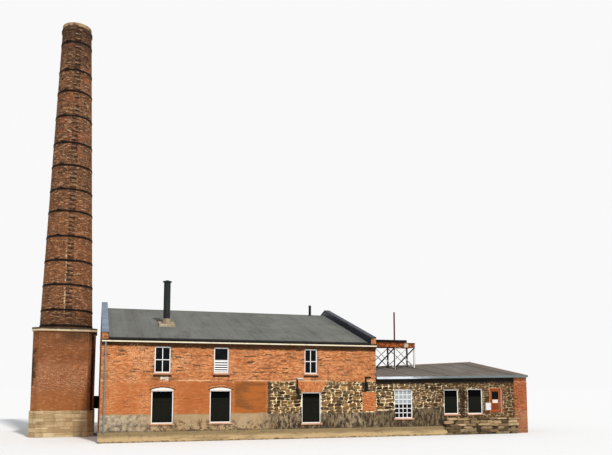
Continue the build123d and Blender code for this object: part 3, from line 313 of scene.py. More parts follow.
def gathered(parts):
    """Several lists of blocks as one."""
    return Blocks(*(np.concatenate(column) for column in zip(*parts)))


def chosen(blocks, good):
    """The blocks for which good is true."""
    return Blocks(*(v[good] for v in blocks))


def kept(blocks, width, height):
    """Drops slivers."""
    return chosen(blocks, (blocks.right - blocks.left > width) & (blocks.top - blocks.bottom > height))


def hole_of(opening, margin=0.0):
    """The rectangle that an opening takes out of the masonry."""
    half = opening.width / 2 + margin
    return Hole(opening.middle - half, opening.middle + half, opening.sill, opening.head + margin)


def courses(left, right, bottom, top, length, course):
    """Brickwork in running bond: row k lies over bottom + k courses, and every second row starts half a
    brick earlier. What passes the ends is cut off."""
    rows = int(math.ceil((top - bottom) / course - 1e-6))
    columns = int(math.ceil((right - left) / length)) + 1
    row, column = (v.ravel() for v in np.meshgrid(np.arange(rows), np.arange(columns), indexing="ij"))
    start = left + (column - 0.5 * (row % 2)) * length
    low = bottom + row * course
    return Blocks(np.maximum(start, left), np.minimum(start + length, right), low,
                  np.minimum(low + course, top))


def rubble_courses(left, right, bottom, top, heights, lengths, rng):
    """Stones in uneven rows: each row's height and each stone's length are drawn at random, and one stone
    in five is split in two flat ones."""
    parts = []
    z = bottom
    while z < top - 0.04:
        height = min(rng.uniform(*heights), top - z)
        if top - z - height < heights[0] * 0.6:
            height = top - z
        longer = 0.6 + height / heights[1] * 0.5
        steps = rng.uniform(*lengths, int((right - left) / lengths[0]) + 2) * longer
        ends = left + np.concatenate(([0.0], np.cumsum(steps)))
        ends = np.append(ends[ends < right - lengths[0] * 0.5], right)
        a, b = ends[:-1], ends[1:]
        low, high = np.full(len(a), z), np.full(len(a), z + height)
        split = (rng.random(len(a)) < 0.22) & (height > 0.16)
        middle = z + height * rng.uniform(0.4, 0.6, len(a))
        parts.append((a, b, low, np.where(split, middle, high)))
        parts.append((a[split], b[split], middle[split], high[split]))
        z += height
    return gathered(parts)


def cut(blocks, holes):
    """Takes rectangular holes out: a block that meets one keeps its parts left, right, below and above."""
    for hole in holes:
        left, right, bottom, top = blocks
        meets = (left < hole.right) & (right > hole.left) & (bottom < hole.top) & (top > hole.bottom)
        a, b, low, high = chosen(blocks, meets)
        inner_left, inner_right = np.maximum(a, hole.left), np.minimum(b, hole.right)
        blocks = kept(gathered([chosen(blocks, ~meets),
                                (a, np.minimum(b, hole.left), low, high),
                                (np.maximum(a, hole.right), b, low, high),
                                (inner_left, inner_right, low, np.minimum(hole.bottom, high)),
                                (inner_left, inner_right, np.maximum(hole.top, low), high)]), 0.0, 0.0)
    return blocks


def under_slopes(blocks, left, right, eave, slope):
    """Keeps blocks under a gable's two slopes: at height z the wall reaches inwards (z - eave) / slope."""
    inset = (blocks.top - eave) / slope
    return kept(blocks._replace(left=np.maximum(blocks.left, left + inset),
                                right=np.minimum(blocks.right, right - inset)), 0.03, 0.03)


def arch_holes(opening, course):
    """The outline of a segmental arch as a stack of low holes, each as wide as the ring's outer circle
    at the middle of its height."""
    half, radius, centre = arch_circle(opening)
    outer = radius + ARCH_RING
    edge = half * outer / radius
    foot = centre + math.sqrt(outer ** 2 - edge ** 2)
    holes = []
    for low in np.arange(opening.sill, centre + outer, course):
        z = low + course / 2
        if z < opening.head:
            reach = opening.width / 2
        elif z < foot:
            reach = half + (edge - half) * (z - opening.head) / (foot - opening.head)
        else:
            reach = math.sqrt(max(outer ** 2 - (z - centre) ** 2, 0.0))
        holes.append(Hole(opening.middle - reach, opening.middle + reach, low, low + course))
    return holes


# Shapes of pieces

BRICK_QUADS = np.array([(4, 5, 6, 7), (0, 1, 5, 4), (1, 2, 6, 5), (2, 3, 7, 6), (3, 0, 4, 7)])
BRICK_CELL = np.array([(0, 0), (1, 0), (1, 1), (0, 1), (0.12, 0.2), (0.88, 0.2), (0.88, 0.8), (0.12, 0.8)])
STONE_CORNERS = 10
DARK_TONE = 0.08


def tones(count, dark, blocks, rng):
    """A shade for each block: a few, in pairs, lie in the dark end of the ramp, the rest over all of it."""
    share = dark(blocks) if callable(dark) else dark
    draw = rng.random((2, count))
    draw[0, 1::2] = draw[0, :-1:2][:len(draw[0, 1::2])]
    return np.where(draw[0] < share, draw[1] * DARK_TONE, 0.12 + 0.88 * draw[1])


def dark_share(blocks):
    """Share of dark bricks: over the pale line each course has its own, from few to many, and under it a
    quarter of that. The draw is the fraction of a large sine of the course's number."""
    draw = np.sin(np.round(blocks.bottom / 0.075) * 12.9898) * 43758.5453
    share = 0.04 + 0.42 * (draw - np.floor(draw)) ** 3
    return np.where(blocks.bottom > PALE_LINE_Z + 0.2, share, share * 0.25)


def frusta(name, blocks, place, look, rng, proud, inset, joint, spread=0.3, foot=-0.004,
           aspect=3.0, dark=0.06):
    """Each block as a frustum: its foot lies in the wall, its head stands proud and is drawn in all round.

    Head corner = block corner moved inwards by half a joint and the inset, out by proud times a random
    share. place turns u, z and out into a point.
    """
    blocks = kept(blocks, 0.035, 0.028)
    left, right = blocks.left + joint / 2, blocks.right - joint / 2
    bottom, top = blocks.bottom + joint / 2, blocks.top - joint / 2
    count = len(left)
    whole = rng.uniform(-spread, spread, (count, 1))
    head = proud * (1 + whole + rng.uniform(-spread, spread, (count, 4)) * 0.5)
    slack = inset * rng.uniform(0.6, 1.5, (count, 4))
    u = np.stack((left, right, right, left, left, right, right, left), 1)
    z = np.stack((bottom, bottom, top, top, bottom, bottom, top, top), 1)
    u[:, 4:] += slack * (1, -1, -1, 1)
    z[:, 4:] += slack * (1, 1, -1, -1)
    out = np.concatenate((np.full((count, 4), foot), head), 1)
    return piece(name, place(u, z, out), [repeated(BRICK_QUADS, count, 8)], look,
                 tone=np.repeat(tones(count, dark, blocks, rng), 8),
                 cells=cell_sheet(count, np.broadcast_to(BRICK_CELL, (count, 8, 2)), aspect))


def domes(name, blocks, place, look, rng, proud, joint=0.04, wave=0.024, aspect=1.8):
    """Each block as a rounded stone: rings of a squared circle that rise to a low dome.

    Ring point = middle + half size times (cos a, sin a) pushed towards a square, shrunk a little at
    random. A slow wave shared by all stones bends the rows.
    """
    blocks = kept(blocks, 0.07, 0.06)
    count = len(blocks.left)
    middle_u = (blocks.left + blocks.right)[:, None, None] / 2
    middle_z = (blocks.bottom + blocks.top)[:, None, None] / 2
    half_u = (blocks.right - blocks.left)[:, None, None] / 2 - joint / 2
    half_z = (blocks.top - blocks.bottom)[:, None, None] / 2 - joint / 2
    even = (np.arange(STONE_CORNERS) + 0.5) * math.tau / STONE_CORNERS
    turn = even + rng.uniform(-0.2, 0.2, (count, 1))
    c, s = np.cos(turn), np.sin(turn)
    square = 1 / np.maximum(np.abs(c), np.abs(s)) ** 0.9
    ragged = rng.uniform(0.86, 1.08, (count, STONE_CORNERS))
    p, q = (np.clip(v * square * ragged, -1, 1)[:, None, :] for v in (c, s))
    scales = np.array((1.0, 0.95, 0.7))[None, :, None]
    u = middle_u + half_u * p * scales
    z = middle_z + half_z * q * scales
    height = proud * rng.uniform(0.5, 1.3, (count, 1, 1))
    tilt = rng.uniform(-0.35, 0.35, (count, 2, 1, 1))
    out = height * np.array((-0.25, 0.7, 1.0))[None, :, None] * (1 + tilt[:, 0] * p + tilt[:, 1] * q)
    out[:, 0] = -0.006
    out[:, 1:] *= rng.uniform(0.8, 1.2, (count, 2, STONE_CORNERS))
    tip = np.stack((middle_u[:, 0, 0], middle_z[:, 0, 0], height[:, 0, 0] * 1.05), 1)
    u, z, out = [np.concatenate((v.reshape(count, -1), tip[:, i:i + 1]), 1)
                 for i, v in enumerate((u, z, out))]
    bend_u = wave * np.sin(z * 5.1 + 1.3 * np.sin(u * 1.7))
    bend_z = wave * np.sin(u * 4.3 + 1.1 * np.sin(z * 2.3)) + wave * 0.6 * np.sin(u * 11.0)
    ring = np.arange(STONE_CORNERS)
    last = 2 * STONE_CORNERS
    step = last + STONE_CORNERS + 1
    fan = np.stack((ring + last, (ring + 1) % STONE_CORNERS + last, np.full(STONE_CORNERS, step - 1)), 1)
    reach = np.array((0.5, 0.42, 0.26))[:, None]
    local = [0.5 + (reach * np.clip(turned * 1.15, -1, 1)).ravel() for turned in (np.cos(even), np.sin(even))]
    local = np.concatenate((np.stack(local, 1), [(0.5, 0.5)]))
    return piece(name, place(u + bend_u, z + bend_z, out),
                 [repeated(ring_quads(STONE_CORNERS, 2), count, step), repeated(fan, count, step)],
                 look, tone=np.repeat(rng.random(count), step),
                 cells=cell_sheet(count, np.broadcast_to(local, (count, *local.shape)), aspect))


def bars(name, starts, ends, outward, width, height, look, body="root", bevel=0.2, tone=0.5):
    """Straight bars with a section like a low roof: from each start to each end a strip of a width,
    raised outwards by a height, its top narrower by the bevel's share on both sides."""
    starts, ends = np.asarray(starts, float).reshape(-1, 3), np.asarray(ends, float).reshape(-1, 3)
    count = len(starts)
    outward = np.broadcast_to(np.asarray(outward, float), (count, 3))
    width = np.broadcast_to(width, (count,))[:, None]
    height = np.broadcast_to(height, (count,))[:, None]
    run = ends - starts
    run /= np.linalg.norm(run, axis=1, keepdims=True)
    across = np.cross(run, outward)
    across /= np.linalg.norm(across, axis=1, keepdims=True)
    up = np.cross(across, run)
    slack = np.minimum(width, height) * bevel
    half = width / 2
    corners = [(-half, 0.0 * height), (half, 0.0 * height), (half, height - slack), (half - slack, height),
               (-half + slack, height), (-half, height - slack)]
    section = np.stack([across * w + up * h for w, h in corners], 1)
    k = np.arange(6)
    caps = np.stack((k, k[::-1] + 6))
    return piece(name, np.concatenate((starts[:, None] + section, ends[:, None] + section), 1),
                 [repeated(ring_quads(6)[:, ::-1], count, 12), repeated(caps, count, 12)],
                 look, body, tone=np.repeat(np.broadcast_to(tone, (count,)), 12))


def lathes(name, centres, axis, profile, sides, look, body="root"):
    """Round pieces: point = centre + out times axis + radius times a circle, for each (radius, out) of
    the profile. Its first and last radius are closed by a disc."""
    centres = np.asarray(centres, float).reshape(-1, 3)
    axis = np.broadcast_to(np.asarray(axis, float), centres.shape)
    axis = axis / np.linalg.norm(axis, axis=1, keepdims=True)
    helper = np.where(np.abs(axis[:, 2:3]) > 0.9, (1.0, 0, 0), (0, 0, 1.0))
    first = np.cross(helper, axis)
    first /= np.linalg.norm(first, axis=1, keepdims=True)
    second = np.cross(axis, first)
    turn = np.arange(sides) * math.tau / sides
    circle = (first[:, None] * np.cos(turn)[None, :, None] + second[:, None] * np.sin(turn)[None, :, None])
    rings = [centres[:, None] + axis[:, None] * out + circle * radius for radius, out in profile]
    k = np.arange(sides)
    caps = np.stack((k[::-1], k + sides * (len(profile) - 1)))
    count, step = len(centres), sides * len(profile)
    return piece(name, np.stack(rings, 1),
                 [repeated(ring_quads(sides, len(profile) - 1), count, step), repeated(caps, count, step)],
                 look, body)


def lumps(name, centres, sizes, look, rng, around=9, levels=5):
    """Rough boulders: point = centre + size times a unit ball point, pushed in and out at random.
    The poles are single points."""
    centres, sizes = np.asarray(centres, float), np.asarray(sizes, float)
    count = len(centres)
    turn = np.arange(around) * math.tau / around
    rise = (np.arange(levels) + 1) * math.pi / (levels + 1)
    ball = np.stack((np.sin(rise)[:, None] * np.cos(turn), np.sin(rise)[:, None] * np.sin(turn),
                     -np.cos(rise)[:, None] * np.ones(around)), -1).reshape(-1, 3)
    ball = np.sign(ball) * np.abs(ball) ** 0.6
    ball = np.concatenate((ball, [(0, 0, -0.9), (0, 0, 0.9)]))
    shape = ball * rng.uniform(0.78, 1.08, (count, len(ball), 1))
    yaw = rng.uniform(-0.25, 0.25, count)[:, None]
    x = shape[..., 0] * np.cos(yaw) - shape[..., 1] * np.sin(yaw)
    y = shape[..., 0] * np.sin(yaw) + shape[..., 1] * np.cos(yaw)
    k = np.arange(around)
    n = (k + 1) % around
    low, high, last = around * levels, around * levels + 1, around * (levels - 1)
    fans = np.concatenate((np.stack((n, k, np.full(around, low)), 1),
                           np.stack((k + last, n + last, np.full(around, high)), 1)))
    step = len(ball)
    return piece(name, centres[:, None] + points(x, y, shape[..., 2]) * sizes[:, None],
                 [repeated(ring_quads(around, levels - 1), count, step), repeated(fans, count, step)],
                 look, tone=np.repeat(rng.random(count), step))


def hoops(name, radii, levels, depth, height, sides, look):
    """Flat rings round the chimney's axis: each ring's section is a rectangle from its own radius outwards
    by a depth, as high as height, and its points follow a circle."""
    turn = np.arange(sides) * math.tau / sides
    corners = np.array([(0.0, -0.5), (1.0, -0.5), (1.0, 0.5), (0.0, 0.5)])
    reach = radii[:, None, None] + corners[:, :1] * depth
    rise = levels[:, None, None] + corners[:, 1:] * height
    vertices = points(CHIMNEY_X + reach * np.cos(turn), CHIMNEY_Y + reach * np.sin(turn), rise)
    k = np.arange(sides)
    n = (k + 1) % sides
    bands = np.concatenate([np.stack((k, n, n, k), 1) + sides * np.array((a, a, b, b))
                            for a, b in ((0, 1), (1, 2), (2, 3), (3, 0))])
    return piece(name, vertices, [repeated(bands, len(radii), 4 * sides)], look)


# Node trees

class Wire:
    """One output socket of a node tree. Python's operators on it add Math nodes."""

    def __init__(self, tree, socket):
        self.tree = tree
        self.socket = socket

    def __add__(self, other):
        return self.tree.maths("ADD", self, other)

    def __radd__(self, other):
        return self.tree.maths("ADD", other, self)

    def __sub__(self, other):
        return self.tree.maths("SUBTRACT", self, other)

    def __rsub__(self, other):
        return self.tree.maths("SUBTRACT", other, self)

    def __mul__(self, other):
        return self.tree.maths("MULTIPLY", self, other)

    def __rmul__(self, other):
        return self.tree.maths("MULTIPLY", other, self)


class Tree:
    """A node tree, with one way to add nodes to it."""

    def __init__(self, tree):
        self.tree = tree

    def node(self, kind, settings=None, sockets=None):
        """Adds a node, sets its settings, then gives its sockets their values or links."""
        node = self.tree.nodes.new(kind)
        for name, value in (settings or {}).items():
            setattr(node, name, value)
        for name, value in (sockets or {}).items():
            self.feed(node.inputs[name], value)
        return node

    def get(self, kind, output, settings=None, sockets=None):
        """As node, but returns one of its outputs as a Wire."""
        return Wire(self, self.node(kind, settings, sockets).outputs[output])

    def feed(self, socket, value):
        if isinstance(value, Wire):
            self.tree.links.new(value.socket, socket)
        else:
            socket.default_value = value

    def maths(self, operation, *values):
        return self.get("ShaderNodeMath", 0, {"operation": operation}, dict(enumerate(values)))


class Graph(Tree):
    """The node tree of one material, ending in a Principled shader. Its colour is painted coat over coat."""

    def __init__(self, name):
        self.name = name
        self.material = bpy.data.materials.new(name)
        self.material.use_nodes = True
        super().__init__(self.material.node_tree)
        self.shader = self.tree.nodes["Principled BSDF"]
        self.colour = None
        self.places = {}

    def place(self, stretch=None):
        """Object coordinates, in metres, stretched by three factors. Each stretch is made once."""
        if stretch not in self.places:
            self.places[stretch] = (
                self.get("ShaderNodeTexCoord", "Object") if stretch is None else
                self.get("ShaderNodeMapping", 0, None, {"Vector": self.place(), "Scale": stretch}))
        return self.places[stretch]

    def axes(self):
        """The Object coordinates one by one: along the front, back from it and upwards."""
        outputs = self.node("ShaderNodeSeparateXYZ", None, {0: self.place()}).outputs
        return [Wire(self, output) for output in outputs]

    def noise(self, scale, detail=4.0, roughness=0.55, stretch=None):
        return self.get("ShaderNodeTexNoise", 0, None, {"Vector": self.place(stretch), "Scale": scale,
                                                        "Detail": detail, "Roughness": roughness})

    def tone(self):
        """The shade that each brick, stone or board has as an attribute."""
        return self.get("ShaderNodeAttribute", "Fac", {"attribute_name": "tone"})

    def ramp(self, factor, stops):
        """Colours at positions from 0 to 1, and even steps of colour between them."""
        node = self.node("ShaderNodeValToRGB", None, {0: factor})
        elements = node.color_ramp.elements
        while len(elements) < len(stops):
            elements.new(1.0)
        for element, (position, colour) in zip(elements, stops):
            element.position = position
            element.color = (*colour, 1.0)
        return Wire(self, node.outputs[0])

    def band(self, value, low, high, first=0.0, second=1.0):
        """A smooth step: first below low, second above high."""
        return self.get("ShaderNodeMapRange", 0, {"interpolation_type": "SMOOTHSTEP"},
                        {"Value": value, "From Min": low, "From Max": high,
                         "To Min": first, "To Max": second})

    def within(self, value, low, high, soft):
        """A mask that is 1 between two values and fades over a soft edge."""
        return self.band(value, low - soft, low + soft) * self.band(value, high - soft, high + soft, 1.0, 0.0)

    def blend(self, mask, first, second):
        """Colours mixed by a mask between 0 and 1."""
        colours = {6 + index: value if isinstance(value, Wire) else (*value, 1.0)
                   for index, value in enumerate((first, second))}
        return self.get("ShaderNodeMix", 2, {"data_type": "RGBA", "clamp_factor": True}, {0: mask, **colours})

    def cover(self, mask, colour):
        """Lays a coat of a colour over the last one."""
        self.colour = self.blend(mask, self.colour, colour)

    def tint(self, value, low, high, share, colour):
        """A coat that grows from nothing where the value is low to a share where it is high."""
        self.cover(self.band(value, low, high, 0.0, share), colour)

    def bump(self, relief, distance, strength=1.0):
        return self.get("ShaderNodeBump", 0, None,
                        {"Height": relief, "Distance": distance, "Strength": strength})

    def finish(self, mean, roughness, normal=None, gloss=0.12, metallic=0.0):
        """Feeds the shader and keeps the look under its name. A plain view of the part shows mean."""
        inputs = self.shader.inputs
        inputs["Base Color"].default_value = self.material.diffuse_color = (*mean, 1.0)
        for name, value in (("Base Color", self.colour), ("Roughness", roughness), ("Metallic", metallic),
                            ("Normal", normal), ("Specular IOR Level", gloss)):
            if value is not None:
                self.feed(inputs[name], value)
        LOOKS[self.name] = self.material


def mixed(first, second, share=0.5):
    """A colour between two others."""
    return tuple(a + (b - a) * share for a, b in zip(first, second))


# Marks of the weather and painted shade on single walls

def paint_arches(g, _soot):
    """Marks on the segmental arches: a black painted shadow line along the white head and a darker line round
    the ring.
    """
    across, back, rise = g.axes()
    on_front = g.band(back, FRONT_Y + 0.3, FRONT_Y + 0.5, 1.0, 0.0)
    for o in ARCHED_OPENINGS:
        half, radius, centre = arch_circle(o)
        aside = across - (LEFT_X + o.middle)
        over = rise - centre
        far = g.maths("SQRT", aside * aside + over * over)
        beside = g.within(aside, -half - 0.12, half + 0.12, 0.04) * g.band(rise, o.head, o.head + 0.04)
        beside = beside * on_front
        # Painted shadow of the arch: a black line along the top of the white head
        g.cover(g.within(far, radius - 0.02, radius + 0.07, 0.015) * beside * 0.9, linear(44, 26, 17))
        outer = g.within(far, radius + ARCH_RING - 0.03, radius + ARCH_RING + 0.04, 0.015)
        g.cover(outer * beside * 0.5, linear(92, 52, 30))


def paint_block(g, soot):
    """Marks on the block's bricks: a dark band under the eave, painted shadow of the eave with grime in it, a
    browner lower part with a smooth orange field beside the stonework, specks of lime, a broken pale line at
    mid height with a chalky blotch over it, painted black shadow lines under the sills and the render's
    ragged upper edge."""
    across, back, rise = g.axes()
    rough = g.noise(2.5, 6.0, stretch=(1.0, 1.0, 2.0))
    on_front = g.band(back, FRONT_Y + 0.3, FRONT_Y + 0.5, 1.0, 0.0)
    on_back = g.band(back, BACK_Y - 0.5, BACK_Y - 0.3)
    deeper = g.band(across, LEFT_X, LEFT_X + 7.0, 0.0, 0.16)
    # A dark band under the eave: painted shadow of the eave, with grime in it
    eave = g.band(rise + deeper + (rough - 0.5) * 0.2, EAVE_SHADOW_AND_GRIME_Z + 0.18, EAVE_SHADOW_AND_GRIME_Z + 0.25, 0.0, 0.92)
    eave = eave * g.band(rise, WALL_TOP_Z + 0.1, WALL_TOP_Z + 0.2, 1.0, 0.0) * (on_front + on_back)
    g.cover(eave, linear(58, 39, 24))
    low_zone = g.band(rise + (rough - 0.5) * 0.6, PALE_LINE_Z - 0.2, PALE_LINE_Z, 0.5, 0.0) * on_front
    g.cover(low_zone, linear(184, 106, 56))
    browner = g.band(across + (rough - 0.5) * 1.5, LEFT_X + 4.6, LEFT_X + 5.6, 0.0, 0.9)
    g.cover(low_zone * browner, linear(164, 90, 42))
    limed = g.band(g.noise(0.9, 4.0, stretch=(0.5, 1.0, 0.5)), 0.48, 0.62)
    limed = limed * g.band(across, LEFT_X + 3.0, LEFT_X + 12.0, 1.0, 0.25)
    specks = g.noise(1.0, 1.0, stretch=(11.0, 11.0, 13.0))
    g.cover(limed * g.band(specks, 0.5, 0.62, 0.0, 0.5) * on_front, linear(236, 196, 150))
    field = g.within(across, LEFT_X + 8.95, LEFT_X + 11.18, 0.1) * g.within(rise, 1.8, 4.02, 0.04)
    smear = g.noise(1.6, 5.0, stretch=(0.5, 1.0, 1.6))
    painted = g.blend(g.band(smear, 0.4, 0.6), linear(170, 98, 44), linear(124, 78, 40))
    g.cover(field * on_front * 0.8, painted)
    broken = g.band(g.noise(0.35, stretch=(1.0, 1.0, 0.1)), 0.46, 0.54)
    line = g.within(rise, PALE_LINE_Z, PALE_LINE_Z + 0.045, 0.012)
    g.cover(line * broken * on_front * 0.85, linear(232, 202, 160))
    chalk = g.within(across + (rough - 0.5) * 0.5, LEFT_X + 3.85, LEFT_X + 4.4, 0.06)
    chalk = chalk * g.within(rise + (g.noise(9.0) - 0.5) * 0.5, 4.08, 4.36, 0.04) * on_front
    chalk = chalk * g.band(g.noise(1.3, 3.0, 0.6, (5.0, 5.0, 9.0)), 0.42, 0.48)
    g.tint(chalk, 0.2, 0.45, 1.0, linear(255, 248, 226))
    drip = g.within(across + (rough - 0.5) * 0.6, LEFT_X + 3.2, LEFT_X + 4.9, 0.25)
    g.cover(drip * g.within(rise + (rough - 0.5) * 0.4, 4.02, 4.42, 0.1) * on_front * 0.4, soot)
    # Painted shadows: a black line under each upper sill
    for o in UPPER_OPENINGS:
        middle, half, foot = LEFT_X + o.middle, o.width / 2 + 0.08, o.sill - SILL_HEIGHT
        under = g.within(across, middle - half, middle + half, 0.02)
        under = under * g.within(rise, foot - 0.1, foot + 0.03, 0.01)
        g.cover(under * on_front * 0.9, linear(28, 18, 13))
    paint_arches(g, soot)
    ragged = rise + (g.noise(1.1, 6.0, stretch=(1.0, 1.0, 0.3)) - 0.5) * 0.3
    over_render = g.band(ragged, PLINTH_TOP_Z + 0.02, PLINTH_TOP_Z + 0.06, 1.0, 0.0)
    g.cover(over_render * on_front, linear(172, 144, 108))


def paint_stack(g, soot):
    """Marks on the chimney: black bricks under the crown and over the ledge, warmer cloudy parts, a pale
    worn top edge, painted shadows of the ladder's rungs with pale bands over them, and a broken line of
    pale droppings down its left rail."""
    across, back, rise = g.axes()
    rough = g.noise(1.2, 6.0, 0.6)
    g.tint(rise + (rough - 0.5) * 6, 27.6, 31.4, 0.55, linear(46, 37, 32))
    g.cover(g.band(rise + (rough - 0.5) * 3, 8.3, 9.8, 0.4, 0.0), soot)
    warm = g.band(g.noise(1.1, 5.0), 0.54, 0.66, 0.0, 0.3) * g.within(rise, 21.0, 30.5, 1.5)
    g.cover(warm, linear(172, 92, 54))
    low = g.within(rise + (rough - 0.5) * 3, 9.6, 17.5, 3.5) * g.band(rough, 0.4, 0.6, 0.5, 1.0)
    g.cover(low * 0.2, linear(186, 112, 62))
    in_front = g.band(back, CHIMNEY_Y - 0.8, CHIMNEY_Y - 0.4, 1.0, 0.0)
    beside = across - (CHIMNEY_X + LADDER_SIDE)
    step = g.maths("FRACT", (rise - LADDER_FOOT_Z) * (1 / LADDER_STEP))
    ladder = g.within(beside, -0.24, 0.24, 0.03) * in_front * g.band(rise, 8.4, 9.0)
    broken = g.noise(1.5, 3.0, stretch=(2.0, 2.0, 5.0))
    # Painted shadows of the rungs, dark under each one, and pale bands just over them
    dark = g.within(step, 0.4, 0.9, 0.08) * g.band(broken, 0.4, 0.52, 0.1, 0.75)
    g.cover(ladder * dark, linear(34, 26, 22))
    pale = g.within(step, 0.0, 0.3, 0.08) * g.band(broken, 0.48, 0.58, 0.0, 0.6)
    g.cover(ladder * pale, linear(196, 164, 132))
    dots = g.noise(1.5, 2.0, stretch=(3.0, 3.0, 6.5))
    drops = g.within(beside, -0.33, -0.24, 0.02) * in_front * g.within(rise, 9.3, 14.0, 0.4)
    g.cover(drops * g.band(dots, 0.5, 0.56, 0.0, 0.75), linear(216, 196, 168))
    worn_top = g.band(rise + (rough - 0.5) * 0.6, 32.16, 32.26)
    g.cover(worn_top * g.band(rough, 0.36, 0.52, 0.2, 0.9), linear(176, 144, 104))


def paint_pedestal(g, _soot):
    """Marks on the pedestal: a dark band under the ledge, painted shadow of the ledge with soot in it, a belt
    of whitish specks and a broken dark left edge, painted shade of the left chamfer with a dark patch in it.
    """
    across, _, rise = g.axes()
    rough = g.noise(1.6, 6.0, 0.6)
    specks = g.noise(1.0, 2.0, stretch=(10.0, 10.0, 14.0))
    belt = g.within(rise + (rough - 0.5) * 1.2, 3.4, 5.2, 0.5)
    g.cover(g.band(rise, 2.0, 4.5, 0.4, 0.0), linear(176, 112, 58))
    g.tint(rise + (rough - 0.5) * 2, 4.8, 6.4, 0.35, linear(96, 58, 34))
    g.cover(belt * g.band(specks, 0.48, 0.6, 0.0, 0.4), linear(214, 180, 150))
    # Dark band under the ledge: painted shadow of the ledge, with soot in it
    under = g.band(rise + (rough - 0.5) * 2.4, 6.6, 7.5, 0.0, 0.8)
    g.cover(under * g.band(across, CHIMNEY_X - 0.6, CHIMNEY_X + 0.6, 0.3, 1.0), linear(46, 36, 30))
    # Broken dark left edge: painted shade of the left chamfer, with a dark patch in it
    edge = g.band(across + (rough - 0.5) * 1.0, CHIMNEY_X - 2.15, CHIMNEY_X - 1.85, 0.95, 0.0)
    g.cover(edge * g.within(rise + (rough - 0.5) * 3, 3.6, 6.3, 0.5), linear(36, 27, 23))


def paint_ledge(g, _soot):
    """Marks on the chimney's ledge: its upper half is black with soot."""
    rise = g.axes()[2] + (g.noise(4.0, 5.0) - 0.5) * 0.12
    middle = (LEDGE_LOW[2] + LEDGE_HIGH[2]) / 2
    g.tint(rise, middle - 0.02, middle + 0.02, 0.92, linear(46, 36, 28))


def paint_wing(g, _soot):
    """Marks on the wing's rubble: browner and darker to the right, a painted shadow under its fascia, and
    black beside its first boarded opening."""
    across, _, rise = g.axes()
    rough = g.noise(1.4, 6.0, 0.6)
    g.tint(across + (rough - 0.5) * 4, WING_X + 1.0, WING_X + 9.0, 0.55, linear(90, 60, 28))
    # Painted shadow under the fascia
    g.tint(rise + (rough - 0.5) * 0.5, 3.7, 4.0, 0.6, linear(40, 30, 21))
    beside = g.within(across + (rough - 0.5) * 0.3, WING_X + 7.05, WING_X + 7.5, 0.08)
    g.cover(beside * g.within(rise, 1.3, 3.6, 0.3) * 0.75, linear(34, 26, 20))


def shade_rock_ledge(g, _soot):
    """Painted shade on the rocks: pale at the top of the ledge, darkened towards its foot where its shadow
    falls.
    """
    rise = g.axes()[2] + (g.noise(2.5, 6.0, 0.6) - 0.5) * 0.5
    # Painted shadow, darker towards the foot of the ledge
    g.cover(g.band(rise, 0.25, 0.85, 0.65, 0.0), linear(84, 70, 50))


def paint_stone(g, _soot):
    """Marks on the rubble: black stains under the two iron pipes, and a dark smooth strip at its left end."""
    across, _, rise = g.axes()
    rough = g.noise(3.0, 5.0, 0.6)
    for left, right, low, high in STAINS:
        stain = g.within(across + (rough - 0.5) * 0.5, LEFT_X + left, LEFT_X + right, 0.06)
        stain = stain * g.within(rise + (rough - 0.5) * 0.6, low, high, 0.12)
        g.cover(stain * g.band(rough, 0.35, 0.5, 0.35, 0.92), linear(26, 22, 19))
    edge = g.within(across, LEFT_X + STONE_START, LEFT_X + STONE_START + 0.26, 0.02)
    g.cover(edge * 0.75, linear(82, 62, 46))


# Finishes

RUNS = (2.2, 2.2, 0.22)
BLACK = (0.0, 0.0, 0.0)


def masonry(name, stops, soot, soot_share=0.5, pale_share=0.3, grain_scale=55.0, relief=0.004, marks=None,
            beds_share=0.0, specks_share=0.0):
    """Bricks or stones coloured one by one, with fine grain, cloudy weathering and dark runs of soot.

    The attribute tone picks each unit's own colour from the stops. marks paints what one wall has alone.
    """
    g = Graph(name)
    grain = g.noise(grain_scale)
    pits = g.noise(grain_scale * 4, 2.0)
    middle = stops[len(stops) // 2][1]
    g.colour = g.ramp(g.tone() + (grain - 0.5) * 0.06, stops)
    g.tint(g.noise(0.55, 5.0), 0.5, 0.72, pale_share, mixed(middle, (1.0, 0.8, 0.6), 0.25))
    g.tint(g.noise(1.0, 5.0, 0.6, RUNS), 0.52, 0.78, soot_share, soot)
    if beds_share > 0:
        beds = g.noise(1.0, 5.0, 0.65, (0.6, 0.6, 8.0))
        g.tint(beds, 0.5, 0.64, beds_share, mixed(soot, stops[1][1], 0.5))
    if specks_share > 0:
        specks = g.noise(1.0, 2.0, stretch=(12.0, 12.0, 14.0))
        g.tint(specks, 0.54, 0.64, specks_share, linear(222, 180, 138))
        g.cover(g.band(specks, 0.34, 0.44, specks_share, 0.0), soot)
    g.tint(pits, 0.55, 0.72, 0.3, soot)
    if marks is not None:
        marks(g, soot)
    g.finish(mixed(middle, stops[-2][1]), 0.84 + (grain - 0.5) * 0.2,
             g.bump(grain * 0.6 + pits * 0.4, relief, 0.8), 0.08)


def mortar(name, base, soot, dirt=0.6, marks=None, hollow_shade=0.0):
    """Lime mortar between the bricks or stones, sandy and darkened in runs. The last argument is the share of
    black patches in it: hollows where the mortar is gone, with their shade painted in."""
    g = Graph(name)
    g.colour = base
    g.tint(g.noise(1.3, 6.0, 0.6), 0.4, 0.65, dirt, mixed(base, soot, 0.4))
    g.tint(g.noise(1.0, 5.0, 0.6, RUNS), 0.5, 0.75, dirt, soot)
    if hollow_shade > 0:
        # Black patches: hollows in the mortar, with their shade painted in
        g.tint(g.noise(4.2, 4.0, 0.6, (0.8, 0.8, 2.1)), 0.47, 0.54, hollow_shade, linear(26, 18, 12))
    if marks is not None:
        marks(g, soot)
    g.finish(base, 0.93, g.bump(g.noise(180.0, 2.0), 0.002, 0.6))


